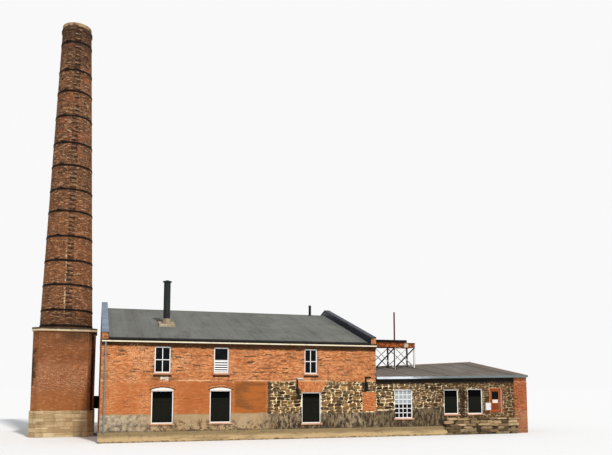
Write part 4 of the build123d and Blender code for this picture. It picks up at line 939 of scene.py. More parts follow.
def worn(name, base, stain, light, stain_share=0.5, light_share=0.4, grain_scale=40.0, roughness=0.75,
         metallic=0.0, relief=0.003, run_scale=(3.0, 3.0, 0.3)):
    """A weathered coat: cloudy light areas, long runs of stain down the surface and a fine grain."""
    g = Graph(name)
    grain = g.noise(grain_scale)
    cloud = g.noise(0.9, 6.0, 0.6)
    g.colour = base
    g.tint(cloud, 0.42, 0.68, light_share, light)
    g.tint(g.noise(1.0, 6.0, 0.6, run_scale), 0.5, 0.72, stain_share, stain)
    g.tint(grain, 0.5, 0.75, 0.3, mixed(stain, BLACK, 0.3))
    g.finish(base, roughness + (grain - 0.5) * 0.25, g.bump(grain + cloud, relief, 0.7), metallic=metallic)


def rust(name, base, dark, light, share=0.5):
    """Old iron: flakes of dark scale over orange rust, with pale patches of lost paint."""
    g = Graph(name)
    flakes = g.noise(9.0, 8.0, 0.65)
    fine = g.noise(60.0)
    g.colour = g.ramp(flakes, [(0.32, dark), (0.48, base), (0.62, light), (0.74, mixed(base, light))])
    g.tint(g.noise(2.2, 5.0), 0.52, 0.66, share, dark)
    g.finish(base, 0.85 + (fine - 0.5) * 0.2, g.bump(flakes + fine * 0.3, 0.004, 0.8))


def glazing(name, base, haze):
    """Old window glass over a dark room: dusty haze in clouds, with a low gloss."""
    g = Graph(name)
    dust = g.noise(3.5, 6.0, 0.6)
    g.colour = base
    g.tint(dust, 0.48, 0.75, 0.5, haze)
    g.finish(base, g.band(dust, 0.4, 0.8, 0.08, 0.35), g.bump(g.noise(6.0, 1.0), 0.004, 0.15), 0.08)


def sheet_roof(name, base, stain, light, seam, edge=0.0):
    """A mineral roof sheet in strips: each strip a little different, stained in long runs to the eave, and
    black below the height edge as a painted shadow of the roof's lower edge."""
    g = Graph(name)
    across, _, rise = g.axes()
    grit = g.noise(160.0, 2.0)
    cloud = g.noise(0.5, 6.0, 0.62)
    strip = g.get("ShaderNodeTexWhiteNoise", 0, {"noise_dimensions": "1D"},
                  {"W": g.maths("FLOOR", across * (1 / seam))})
    g.colour = g.blend(strip * 0.35, base, light)
    g.tint(cloud, 0.45, 0.7, 0.45, light)
    g.tint(g.noise(1.0, 6.0, 0.6, (1.6, 0.18, 1.0)), 0.5, 0.72, 0.6, stain)
    g.tint(grit, 0.45, 0.7, 0.25, mixed(base, BLACK, 0.5))
    # Painted shadow: black below the height edge, along the roof's lower edge over the gutter
    g.cover(g.band(rise, edge - 0.01, edge + 0.01, 0.9, 0.0), linear(16, 18, 20))
    g.finish(base, 0.9, g.bump(grit * 0.4 + cloud, 0.006, 0.6), 0.06)


def planks(name, base, light, axis, relief):
    """Sawn boards: every board its own shade, with grain drawn out along it. Upright boards are black at
    their upper ends, a painted shadow of the opening's head."""
    g = Graph(name)
    grain = g.noise(2.0, 5.0, 0.6, tuple(0.9 if index == axis else 14.0 for index in range(3)))
    g.colour = base
    g.tint(grain, 0.35, 0.7, 0.6, light)
    g.cover(g.tone() * 0.4, mixed(base, light, 0.7))
    # Painted shadow at the upper ends of upright boards
    if axis == 2:
        g.tint(g.axes()[2], 2.86, 2.9, 0.9, linear(4, 4, 4))
    g.finish(base, 0.85, g.bump(grain, relief, 0.7), 0.02)


def footing_look():
    """Sloping concrete: grey and stained near the wall, pale on its front lip, with pits along both edges and
    a painted shadow along its foot.
    """
    g = Graph("footing")
    rise = g.axes()[2]
    grit = g.noise(26.0)
    blots = g.noise(2.6, 8.0, 0.68)
    g.colour = g.blend(g.band(rise, 0.2, 0.5), linear(192, 164, 122), linear(136, 117, 86))
    g.tint(g.noise(1.3, 6.0, 0.6, (0.35, 2.0, 2.0)), 0.48, 0.62, 0.6, linear(124, 106, 76))
    g.tint(blots, 0.54, 0.66, 0.5, linear(92, 76, 54))
    # Painted shadow along the foot of the lip
    g.cover(g.band(rise + (blots - 0.5) * 0.5, 0.0, 0.1, 0.85, 0.0), linear(70, 56, 40))
    g.tint(grit, 0.5, 0.72, 0.3, linear(90, 74, 54))
    g.finish(linear(178, 150, 112), 0.9, g.bump(grit * 0.4 + blots, 0.02, 0.7), 0.08)


def gutter_look():
    """Steel gutter: nearly white at the block, turning grey-green and rusty to the right."""
    g = Graph("gutter_steel")
    cloud = g.noise(1.6, 6.0, 0.6, (0.6, 2.0, 2.0))
    spots = g.noise(12.0, 5.0)
    turn = g.band(g.axes()[0] + (cloud - 0.5) * 3, WING_X + 2.0, WING_X + 5.0)
    g.colour = g.blend(turn, linear(214, 222, 230), linear(112, 122, 122))
    g.cover(g.band(cloud, 0.52, 0.66, 0.0, 0.6) * (turn * 0.7 + 0.3), linear(74, 78, 76))
    g.tint(spots, 0.6, 0.7, 0.6, linear(120, 70, 44))
    g.finish(linear(140, 148, 150), 0.6, g.bump(spots, 0.002, 0.5), metallic=0.3)


def beam_look(base):
    """The stand's rusty beams, with one pale patch, under a black timber deck and a brown mast."""
    g = Graph("stand_beam")
    across, _, rise = g.axes()
    flakes = g.noise(5.0, 8.0, 0.65)
    fine = g.noise(60.0)
    g.colour = g.ramp(flakes, [(0.34, linear(86, 46, 28)), (0.46, base), (0.58, linear(178, 96, 48)),
                               (0.7, linear(176, 96, 50))])
    patch = g.within(across + (flakes - 0.5) * 0.3, WING_X + 5.25, WING_X + 5.6, 0.05)
    g.cover(patch * 0.85, linear(214, 192, 166))
    g.tint(rise + (flakes - 0.5) * 0.1, BEAM_TOP_Z - 0.02, BEAM_TOP_Z + 0.01, 1.0, linear(28, 22, 19))
    g.tint(rise, DECK_TOP_Z + 0.1, DECK_TOP_Z + 0.14, 1.0, linear(84, 44, 34))
    g.finish(base, 0.85 + (fine - 0.5) * 0.2, g.bump(flakes + fine * 0.3, 0.004, 0.8), 0.08)


def plinth_look(base):
    """The rendered foot of the wall: pale and cloudy at the left, with peeling at its corner, then brown
    with black drips, and greyer on the wing. Its lower part is blotted."""
    g = Graph("plinth_render")
    across, _, rise = g.axes()
    grit = g.noise(30.0, 5.0)
    blots = g.noise(4.5, 8.0, 0.7)
    cloud = g.noise(1.2, 6.0, 0.62)
    drips = g.noise(1.0, 7.0, 0.72, (7.0, 7.0, 2.2))
    flecks = g.noise(9.0, 5.0, 0.6)
    dirty = g.band(across + (cloud - 0.5) * 2, LEFT_X + 10.6, LEFT_X + 12.4)
    wing = g.band(across, RIGHT_X - 0.3, RIGHT_X + 0.3)
    corner = g.band(across, LEFT_X + 2.6, LEFT_X + 3.4, 0.7, 0.0)
    g.colour = g.blend(g.band(across, LEFT_X + 1.0, LEFT_X + 4.0), linear(176, 158, 132), base)
    g.cover(dirty, linear(126, 107, 82))
    g.cover(wing, linear(112, 96, 74))
    g.cover(g.band(cloud, 0.42, 0.66, 0.0, 0.4) * (1 - wing), linear(190, 170, 138))
    blotted = g.maths("MAXIMUM", g.band(rise + (cloud - 0.5) * 1.2, 1.05, 1.5, 1.0, 0.15), corner)
    g.cover(g.band(blots, 0.46, 0.58, 0.0, 0.85) * blotted, linear(66, 55, 43))
    g.cover(g.band(flecks, 0.53, 0.62, 0.0, 0.8) * corner, linear(216, 204, 184))
    g.cover(g.band(flecks, 0.38, 0.45, 0.6, 0.0) * corner, linear(96, 84, 70))
    g.cover(g.band(drips, 0.46, 0.56, 0.0, 0.92) * dirty, linear(46, 38, 29))
    g.cover(g.band(drips, 0.34, 0.42, 0.6, 0.0) * dirty, linear(176, 160, 134))
    g.cover(g.band(rise + (cloud - 0.5) * 0.2, 0.68, 0.78, 0.6, 0.0), linear(84, 70, 52))
    g.tint(grit, 0.5, 0.7, 0.3, linear(80, 66, 50))
    g.finish(base, 0.9, g.bump(grit * 0.4 + blots, 0.02, 0.7), 0.08)


# What worn takes for each look, with its base, stain and light colour in screen values
WORN_LOOKS = {
    "coping_blue": ((108, 121, 142), (56, 62, 76), (138, 152, 174), 0.4, 0.5, 30.0, 0.45, 0.35),
    "coping_dark": ((32, 37, 48), (18, 20, 26), (58, 70, 92), 0.4, 0.4, 30.0, 0.45, 0.35),
    "cream_paint": ((232, 220, 190), (150, 128, 98), (246, 238, 216), 0.35, 0.5, 60.0, 0.6),
    "grey_pipe": ((112, 134, 134), (76, 68, 56), (160, 176, 172), 0.4, 0.4, 50.0, 0.5, 0.2),
    # The wing's fascia is near black: painted shade of the zone under its gutter
    "dark_timber": ((28, 24, 21), (14, 12, 11), (62, 46, 34), 0.5, 0.4, 30.0),
    "concrete": ((166, 138, 98), (88, 70, 48), (200, 174, 132), 0.45, 0.5, 26.0, 0.9, 0.0, 0.012,
                 (1.2, 1.2, 0.5)),
    "floor_boards": ((112, 84, 58), (64, 48, 34), (140, 110, 78)),
    "sill_render": ((196, 146, 114), (112, 82, 62), (222, 188, 160), 0.4, 0.4, 40.0, 0.85),
    "white_paint": ((246, 247, 246), (208, 198, 180), (253, 253, 252), 0.1, 0.6, 60.0, 0.55),
    "flue_brown": ((160, 146, 118), (112, 70, 44), (196, 192, 172), 0.6, 0.5, 6.0, 0.8),
    "galvanised": ((44, 47, 47), (26, 25, 25), (78, 82, 82), 0.5, 0.4, 25.0, 0.5, 0.5),
    "orange_paint": ((238, 124, 40), (140, 70, 34), (238, 150, 80), 0.35, 0.4, 60.0, 0.55),
    "white_plastic": ((216, 216, 210), (150, 140, 122), (236, 236, 232), 0.3, 0.4, 80.0, 0.4),
    "arch_head": ((228, 220, 210), (160, 138, 120), (244, 240, 234), 0.4, 0.5, 60.0, 0.6),
    "brace_paint": ((206, 204, 198), (120, 92, 72), (232, 232, 228), 0.45, 0.5, 40.0, 0.6),
    "cement": ((196, 164, 144), (120, 94, 78), (222, 200, 184), 0.5, 0.5, 40.0, 0.85),
}
# Shades of the stones, as positions and screen values
RUBBLE_STOPS = [(0.0, (34, 24, 17)), (0.16, (58, 40, 25)), (0.38, (90, 64, 37)), (0.56, (124, 90, 50)),
                (0.7, (94, 68, 44)), (0.86, (152, 120, 80)), (1.0, (72, 54, 38))]
BASE_STOPS = [(0.0, (150, 124, 90)), (0.5, (184, 158, 118)), (1.0, (206, 184, 146))]
ROCK_STOPS = [(0.0, (74, 60, 44)), (0.35, (122, 100, 72)), (0.6, (160, 134, 98)), (1.0, (200, 176, 138))]
# Near-black rock under the boulders: painted shade of the crevices between them
CREVICE_SHADE_STOPS = [(0.0, (58, 46, 34)), (1.0, (74, 60, 46))]


def shaded(stops):
    """Stops with their colours turned from screen values into linear ones."""
    return [(position, linear(*colour)) for position, colour in stops]


def make_looks(colours):
    """Makes every finish once, from the colours that the panel shows."""
    brick, stack, stone = (tuple(c) for c in (colours.brick, colours.stack_brick, colours.stone))
    soot = linear(52, 38, 30)
    stone_soot = linear(86, 70, 52)
    bright = mixed(brick, linear(226, 156, 102), 0.65)
    deep = mixed(brick, linear(128, 66, 40), 0.6)
    masonry("bricks_block", [
        (0.0, linear(26, 17, 14)), (0.07, linear(52, 31, 23)), (0.1, deep), (0.3, mixed(brick, deep, 0.4)),
        (0.5, brick), (0.85, bright), (1.0, linear(224, 154, 100))],
        soot, 0.25, 0.1, marks=paint_block, beds_share=0.45, specks_share=0.3)
    masonry("bricks_arch", [
        (0.0, mixed(brick, deep, 0.6)), (0.5, brick), (0.85, mixed(brick, bright, 0.7)), (1.0, bright)],
        soot, 0.25, 0.2, marks=paint_arches, specks_share=0.45)
    masonry("bricks_pier", [
        (0.0, linear(78, 36, 22)), (0.2, linear(134, 62, 34)), (0.7, linear(154, 76, 42)),
        (1.0, linear(188, 110, 72))],
        linear(74, 38, 26), 0.35, 0.2, beds_share=0.55, specks_share=0.4)
    stack_stops = [
        (0.0, linear(40, 28, 22)), (0.1, linear(60, 40, 30)), (0.3, mixed(stack, soot, 0.4)), (0.5, stack),
        (0.72, mixed(stack, brick, 0.25)), (0.9, linear(164, 116, 78)), (1.0, linear(194, 160, 124))]
    masonry("bricks_shaft", stack_stops, soot, 0.45, 0.1, marks=paint_stack, beds_share=0.45,
            specks_share=0.35)
    masonry("bricks_pedestal", [(position, mixed(colour, brick, 0.42)) for position, colour in stack_stops],
            soot, 0.4, 0.2, marks=paint_pedestal, beds_share=0.45, specks_share=0.2)
    masonry("stones_block", [
        (0.0, linear(38, 27, 18)), (0.14, linear(64, 44, 26)), (0.34, linear(100, 70, 38)), (0.55, stone),
        (0.7, linear(96, 68, 40)), (0.86, linear(176, 136, 84)), (1.0, linear(90, 66, 42))],
        linear(34, 26, 19), 0.25, 0.08, 18.0, 0.02, paint_stone)
    masonry("stones_wing", shaded(RUBBLE_STOPS), linear(34, 26, 20), 0.4, 0.08, 18.0, 0.02, paint_wing)
    base_stops = shaded(BASE_STOPS)
    masonry("stones_base", base_stops, stone_soot, 0.5, 0.2, 14.0, 0.015)
    ledge_stops = [(position, mixed(colour, linear(226, 210, 180), 0.4)) for position, colour in base_stops]
    masonry("stones_ledge", ledge_stops, stone_soot, 0.4, 0.2, 14.0, 0.01, paint_ledge)
    masonry("rock", shaded(ROCK_STOPS), linear(52, 42, 32), 0.4, 0.2, 9.0, 0.03, shade_rock_ledge)
    masonry("rock_bed_crevice_shade", shaded(CREVICE_SHADE_STOPS), linear(30, 24, 18), 0.4, 0.1, 9.0, 0.03)
    mortar("mortar_block", linear(196, 142, 98), linear(74, 52, 38), marks=paint_block)
    mortar("mortar_stack", linear(104, 77, 56), linear(46, 35, 28), marks=paint_stack)
    mortar("mortar_pedestal", linear(158, 112, 76), linear(62, 44, 32))
    mortar("mortar_stone", linear(255, 230, 180), linear(120, 94, 64), 0.25, paint_stone, 0.8)
    mortar("mortar_wing", linear(255, 232, 188), linear(84, 66, 46), 0.25, paint_wing, 0.85)
    mortar("mortar_base", linear(196, 170, 130), linear(84, 66, 46))
    mortar("mortar_ledge", linear(206, 182, 144), linear(84, 66, 46), marks=paint_ledge)
    for name, (base, stain, light, *rest) in WORN_LOOKS.items():
        worn(name, linear(*base), linear(*stain), linear(*light), *rest)
    door = tuple(colours.door)
    worn("door_paint", door, linear(86, 44, 26), mixed(door, (1, 0.7, 0.4), 0.25), 0.4, 0.4, 60.0, 0.55)
    sheet_roof("roof_sheet", linear(102, 102, 98), linear(82, 79, 74), linear(126, 126, 122), 1.02,
               EAVE_Z + 0.09)
    sheet_roof("wing_felt", linear(98, 92, 86), linear(96, 76, 60), linear(136, 128, 122), 0.95)
    planks("dark_boards", linear(25, 25, 21), linear(33, 33, 28), 2, 0.004)
    planks("black_boards", linear(20, 20, 18), linear(28, 28, 25), 2, 0.003)
    planks("deck_boards", linear(52, 44, 38), linear(92, 78, 64), 0, 0.004)
    glazing("glass", linear(9, 11, 12), linear(36, 42, 46))
    glazing("pale_panes", linear(150, 158, 162), linear(206, 208, 204))
    rust("black_iron", linear(20, 17, 15), linear(9, 8, 7), linear(46, 33, 26), 0.7)
    rust("black_steel", linear(24, 20, 19), linear(12, 11, 10), linear(60, 40, 30), 0.6)
    footing_look()
    gutter_look()
    beam_look(tuple(colours.rust))
    plinth_look(tuple(colours.render))


NODE_LOOKS = {
    "mortar_block": ("block_front_brick block_back_wall block_left_gable block_right_gable "
                     "block_arches_and_infills wing_brick_pier"),
    "mortar_stack": "chimney_shaft",
    "mortar_pedestal": "chimney_pedestal",
    "mortar_stone": "block_front_stone",
    "mortar_wing": ("wing_front_wall_left wing_front_wall_right wing_wall_over_door wing_wall_under_door "
                    "wing_end_wall wing_back_wall"),
    "mortar_base": "chimney_base",
    "mortar_ledge": "chimney_ledge",
    "rock_bed_crevice_shade": "wing_rock_ledge",
    "coping_blue": "block_left_coping",
    "coping_dark": "block_right_coping",
    "roof_sheet": "block_roof_front block_roof_back",
    "wing_felt": "wing_roof",
    "cream_paint": "block_front_gutter block_back_gutter",
    "grey_pipe": "block_downpipe",
    "gutter_steel": "wing_gutter",
    "dark_timber": "wing_fascia",
    "concrete": "block_ground_floor wing_floor",
    "footing": "front_footing",
    "floor_boards": "block_upper_floor",
    "plinth_render": "plinth_render",
    "sill_render": "block_sills wing_sills",
    "white_paint": "block_window_frames side_window_frames wing_window_frames door_frame",
    "black_boards": "opening_boards",
    "glass": "front_window_glass side_window_glass door_glass",
    "flue_brown": "flue_curb",
    "galvanised": "flue_pipe roof_vent",
    "black_iron": "wall_pipes door_fittings chimney_ironwork chimney_corner_pipe flue_duct",
    "door_paint": "door_leaf",
    "white_plastic": "wall_box",
    "stand_beam": "stand_top_frame",
    "black_steel": "stand_posts",
    "brace_paint": "stand_braces",
}


# What a user can change

class FactorySizes(PropertyGroup):
    """Sizes of the masonry and of the thin pieces on it."""

    seed: IntProperty(name="Seed", description="Start of every random draw", default=7)
    brick: FloatProperty(name="Brick", description="Length of a brick with its joint", default=0.225,
                         unit="LENGTH")
    course: FloatProperty(name="Course", description="Height of a brick with its joint", default=0.075,
                          unit="LENGTH")
    joint: FloatProperty(name="Joint", description="Width of a mortar joint", default=0.012, unit="LENGTH")
    brick_proud: FloatProperty(name="Brick relief", description="How far a brick stands over its mortar",
                               default=0.007, unit="LENGTH")
    stone_proud: FloatProperty(name="Stone relief", description="How far a rubble stone stands out",
                               default=0.055, unit="LENGTH")
    bar: FloatProperty(name="Glazing bar", description="Width of a window's glazing bar", default=0.05,
                       unit="LENGTH")
    seam: FloatProperty(name="Roof strip", description="Distance between two seams of the roof sheet",
                        default=1.02, unit="LENGTH")


class FactoryColours(PropertyGroup):
    """Mean colours of the main finishes."""

    brick: FloatVectorProperty(name="Brick", description="Bricks of the block", subtype="COLOR", size=3,
                               min=0, max=1, default=linear(190, 108, 57))
    stack_brick: FloatVectorProperty(name="Chimney brick", description="Bricks of the chimney",
                                     subtype="COLOR", size=3, min=0, max=1, default=linear(106, 69, 48))
    stone: FloatVectorProperty(name="Stone", description="Rubble of the block's front", subtype="COLOR",
                               size=3, min=0, max=1, default=linear(126, 86, 44))
    render: FloatVectorProperty(name="Render", description="Rendered plinth", subtype="COLOR", size=3,
                                min=0, max=1, default=linear(172, 144, 108))
    door: FloatVectorProperty(name="Door", description="Paint of the door leaf", subtype="COLOR", size=3,
                              min=0, max=1, default=linear(122, 55, 28))
    rust: FloatVectorProperty(name="Rust", description="Steel beam of the stand", subtype="COLOR", size=3,
                              min=0, max=1, default=linear(118, 66, 38))


def generator(context, shift):
    """A random generator of its own for each piece, so that one piece never changes another."""
    return np.random.default_rng(context.scene.factory_sizes.seed * 1000 + shift)


# Operators, one for each group of pieces

class FACTORY_OT_stage(Operator):
    """Adds the floor, the lights, the pale background and the camera"""

    bl_idname = "factory.stage"
    bl_label = "Stage"

    def execute(self, context):
        scene = context.scene
        scene.view_settings.view_transform = "Standard"
        reach = 1800.0
        mesh = bpy.data.meshes.new("floor")
        mesh.from_pydata([(-reach, -reach, 0), (reach, -reach, 0), (reach, reach, 0), (-reach, reach, 0)], [],
                         [(0, 1, 2, 3)])
        floor = bpy.data.objects.new("floor", mesh)
        scene.collection.objects.link(floor)
        ground = Graph("pale_floor")
        ground.finish((0.8, 0.8, 0.8), 1.0, gloss=0.0)
        mesh.materials.append(ground.material)
        sun = bpy.data.objects.new("sun", bpy.data.lights.new("sun", "SUN"))
        sun.data.energy = 2.7
        sun.data.angle = math.radians(4)
        sun.data.color = (1.0, 0.97, 0.92)
        sun.rotation_euler = (math.radians(42), 0, math.radians(14))
        scene.collection.objects.link(sun)
        scene.world = scene.world or bpy.data.worlds.new("sky")
        scene.world.use_nodes = True
        scene.world.node_tree.nodes.clear()
        sky = Tree(scene.world.node_tree)
        path = sky.node("ShaderNodeLightPath").outputs
        camera_ray, glossy_ray, through_ray = (Wire(sky, path[f"Is {ray} Ray"])
                                               for ray in ("Camera", "Glossy", "Transmission"))
        seen = sky.maths("MAXIMUM", sky.maths("MAXIMUM", camera_ray, glossy_ray), through_ray)
        light = sky.get("ShaderNodeBackground", 0, None, {0: (0.92, 0.96, 1.0, 1.0), 1: 0.6})
        pale = sky.get("ShaderNodeBackground", 0, None, {0: (0.945, 0.947, 0.945, 1.0), 1: 1.0})
        both = sky.get("ShaderNodeMixShader", 0, None, {0: seen, 1: light, 2: pale})
        sky.node("ShaderNodeOutputWorld", None, {0: both})
        camera = bpy.data.objects.new("camera", bpy.data.cameras.new("camera"))
        camera.data.lens = 38.8
        camera.data.sensor_width = 36
        camera.data.clip_end = 4000
        camera.data.shift_y = 0.15
        camera.location = (-14.31, -55.88, 3.6)
        camera.rotation_euler = (math.radians(95.9), 0, math.radians(-17.65))
        scene.collection.objects.link(camera)
        scene.camera = camera
        return {"FINISHED"}


class FACTORY_OT_finishes(Operator):
    """Gives every CAD piece its finish"""

    bl_idname = "factory.finishes"
    bl_label = "Finishes"

    def execute(self, context):
        make_looks(context.scene.factory_colours)
        bare = set(NODES)
        for look, names in NODE_LOOKS.items():
            for name in names.split():
                for slot in NODES[name].material_slots:
                    slot.material = LOOKS[look]
                bare.discard(name)
        if bare:
            raise RuntimeError(f"no finish for {sorted(bare)}")
        return {"FINISHED"}


class FACTORY_OT_block_bricks(Operator):
    """Lays the bricks of the block's front, back and gables"""

    bl_idname = "factory.block_bricks"
    bl_label = "Block bricks"

    def execute(self, context):
        sizes = context.scene.factory_sizes

        def bond(left, right, bottom, top):
            return courses(left, right, bottom, top, sizes.brick, sizes.course)

        def lay(name, blocks, face, shift):
            frusta(name, blocks, flat(face), "bricks_block", generator(context, shift),
                   sizes.brick_proud, 0.005, sizes.joint, dark=dark_share)

        holes = [hole_of(o) for o in UPPER_OPENINGS + ARCHED_OPENINGS]
        holes.append(Hole(STONE_START, BLOCK_LENGTH + 1, 0, STONE_TOP_Z))
        for o in ARCHED_OPENINGS:
            holes += arch_holes(o, sizes.course)
        lay("front_bricks", cut(bond(0, BLOCK_LENGTH, PLINTH_TOP_Z, WALL_TOP_Z), holes), FRONT, 1)
        holes = [hole_of(o) for o in BACK_OPENINGS]
        lay("back_bricks", cut(bond(0, BLOCK_LENGTH, 0.0, WALL_TOP_Z), holes), BACK, 2)

        eave = EAVE_Z + PARAPET_RISE
        ends = [Hole(-1, 0, 0, KNEELER_Z), Hole(BLOCK_DEPTH, BLOCK_DEPTH + 1, 0, KNEELER_Z)]
        for side, face, openings, covered, shift in (
                ("left", LEFT, LEFT_OPENINGS, DUCT, 3),
                ("right", RIGHT, RIGHT_OPENINGS, Hole(-0.2, WING_DEPTH, 0.0, 4.2), 4)):
            gable = bond(-EAVE_OVERHANG, BLOCK_DEPTH + EAVE_OVERHANG, 0.0, RIDGE_Z + PARAPET_RISE)
            gable = cut(gable, [hole_of(o) for o in openings] + [covered] + ends)
            lay(f"{side}_gable_bricks", under_slopes(gable, 0, BLOCK_DEPTH, eave, ROOF_SLOPE), face, shift)

        top = eave - ROOF_SLOPE * EAVE_OVERHANG
        kneelers = gathered([bond(start, start + GABLE_WALL, KNEELER_Z, top)
                             for start in (0.0, BLOCK_LENGTH - GABLE_WALL)])
        for index, face in enumerate((FRONT, BACK)):
            proud_face = face._replace(origin=face.origin + EAVE_OVERHANG * face.outward)
            lay(f"kneeler_bricks_{index}", kneelers, proud_face, 5 + index)
        return {"FINISHED"}


def arch_plate(name, opening):
    """The white head of an arched opening: its foot is straight, and its top follows the brick ring's
    inner circle, z = centre + root of (radius squared - distance from the middle squared)."""
    _, radius, centre = arch_circle(opening)
    count = 17
    offset = np.linspace(-opening.width / 2, opening.width / 2, count)
    top = centre + np.sqrt(radius ** 2 - offset ** 2)
    u = opening.middle + np.append(offset, offset[::-1])
    z = np.append(np.full(count, opening.head - 0.01), top[::-1])
    k = np.arange(count - 1)
    last = 2 * count - 1
    rear = np.stack((last - k, last - 1 - k, k + 1, k), 1)
    front = rear[:, ::-1] + 2 * count
    piece(name, [on_face(FRONT, u, z, out) for out in (-0.03, 0.018)],
          [np.concatenate((ring_quads(2 * count), front, rear))], "arch_head")


def ring_place(opening):
    """Turns u and z of a straight strip into a segmental ring over an opening: u becomes the turn round
    the arch's centre and z the distance from its inner circle. Also gives half the strip's length."""
    half, radius, centre = arch_circle(opening)

    def place(u, z, out):
        turn, far = u / radius, radius + z
        return on_face(FRONT, opening.middle + far * np.sin(turn), centre + far * np.cos(turn), out)

    return place, radius * math.asin(half / radius)


def fan_reach(z):
    """Half the width of the flat arch at a height: its ends lean outwards."""
    share = (z - LOWER_RIGHT.head) / (STONE_TOP_Z - LOWER_RIGHT.head)
    return LOWER_RIGHT.width / 2 + FLAT_ARCH_SPLAY * share


def fan_place(u, z, out):
    """Turns a straight strip into the flat arch: u runs from -1 to 1 between its two leaning ends."""
    return on_face(FRONT, LOWER_RIGHT.middle + u * fan_reach(z), z, out)


class FACTORY_OT_arch_bricks(Operator):
    """Lays the arches, the flat arch, the brick patch and the pier"""

    bl_idname = "factory.arch_bricks"
    bl_label = "Arches and pier"

    def execute(self, context):
        sizes = context.scene.factory_sizes

        def lay(name, blocks, place, shift, joint, aspect=3.0, kind="arch", proud=0.012):
            frusta(name, blocks, place, f"bricks_{kind}", generator(context, shift), proud,
                   0.004, joint, aspect=aspect)

        for index, opening in enumerate(ARCHED_OPENINGS):
            place, reach = ring_place(opening)
            edges = np.linspace(-reach, reach, 2 * int(reach / sizes.course) + 1)
            rings = gathered([row_of(edges, low, low + ARCH_RING / 2) for low in (0.0, ARCH_RING / 2)])
            lay(f"arch_bricks_{index}", rings, place, 11 + index, 0.008, 0.7)
            arch_plate(f"arch_head_{index}", opening)
        levels = np.linspace(LOWER_RIGHT.head, STONE_TOP_Z, 4)
        fan = gathered([row_of(np.linspace(-1, 1, 25 + 4 * row), levels[row], levels[row + 1])
                        for row in range(3)])
        lay("flat_arch_bricks", fan, fan_place, 13, 0.008, 0.5)
        lay("patch_bricks", courses(*PATCH, sizes.brick, sizes.course), flat(FRONT), 14, sizes.joint)
        width, depth, _ = PIER_HIGH - PIER_LOW
        for side, face, length, shift in (("front", moved(FRONT, PIER_LOW[0], PIER_LOW[1]), width, 15),
                                          ("side", moved(RIGHT, PIER_HIGH[0], PIER_LOW[1]), depth, 16)):
            pier = courses(0, length, 0.0, WING_EAVE_Z, sizes.brick, sizes.course)
            lay(f"pier_bricks_{side}", pier, flat(face), shift, sizes.joint, kind="pier", proud=0.005)
        return {"FINISHED"}


def prism_faces(low, high):
    """The eight upright faces of a chamfered square block round the chimney's axis, and their lengths."""
    half = (high[0] - low[0]) / 2
    straight = half - CHAMFER
    corners = np.array([(-straight, -half), (straight, -half), (half, -straight), (half, straight),
                        (straight, half), (-straight, half), (-half, straight), (-half, -straight)])
    runs = np.roll(corners, -1, axis=0) - corners
    lengths = np.hypot(runs[:, 0], runs[:, 1])
    faces = [wall(CHIMNEY_X + x, CHIMNEY_Y + y, (a, b), (b, -a))
             for (x, y), (a, b) in zip(corners, runs / lengths[:, None])]
    return faces, lengths


def wrapped(faces, parts):
    """Blocks of several faces as one list, and a face whose rows are the blocks' own faces."""
    number = np.repeat(np.arange(len(parts)), [len(part.left) for part in parts])
    return gathered(parts), Face(*(np.array(rows)[number][:, None] for rows in zip(*faces)))


def ring_blocks(low, high, course, length, radius_of, rng):
    """Rings of bricks: each course has the whole number of bricks nearest to its girth, turned at random."""
    levels = np.arange(low, high - course * 0.5, course)
    counts = np.round(math.tau * radius_of(levels) / length).astype(int)
    ring = np.repeat(np.arange(len(levels)), counts)
    place = np.arange(len(ring)) - np.repeat(np.cumsum(counts) - counts, counts)
    step = math.tau / counts[ring]
    turn = (place + 0.5 * (ring % 2) + rng.uniform(-0.1, 0.1, len(levels))[ring]) * step
    return Blocks(turn, turn + step, levels[ring], levels[ring] + course)


def ring_frusta(name, blocks, radius_of, rng, joint):
    """Frusta round the chimney's axis: point = axis + (radius at z + out) times a circle. The blocks'
    lengths are turns, so joints and insets are divided by the radius."""
    radius = radius_of(blocks.bottom)

    def place(u, z, out):
        reach = radius_of(z) + out
        turn = u / radius[:, None]
        return points(CHIMNEY_X + reach * np.cos(turn), CHIMNEY_Y + reach * np.sin(turn), z)

    lengths = blocks._replace(left=blocks.left * radius, right=blocks.right * radius)
    frusta(name, lengths, place, "bricks_shaft", rng, 0.012, 0.006, joint, 0.2, foot=-0.01)


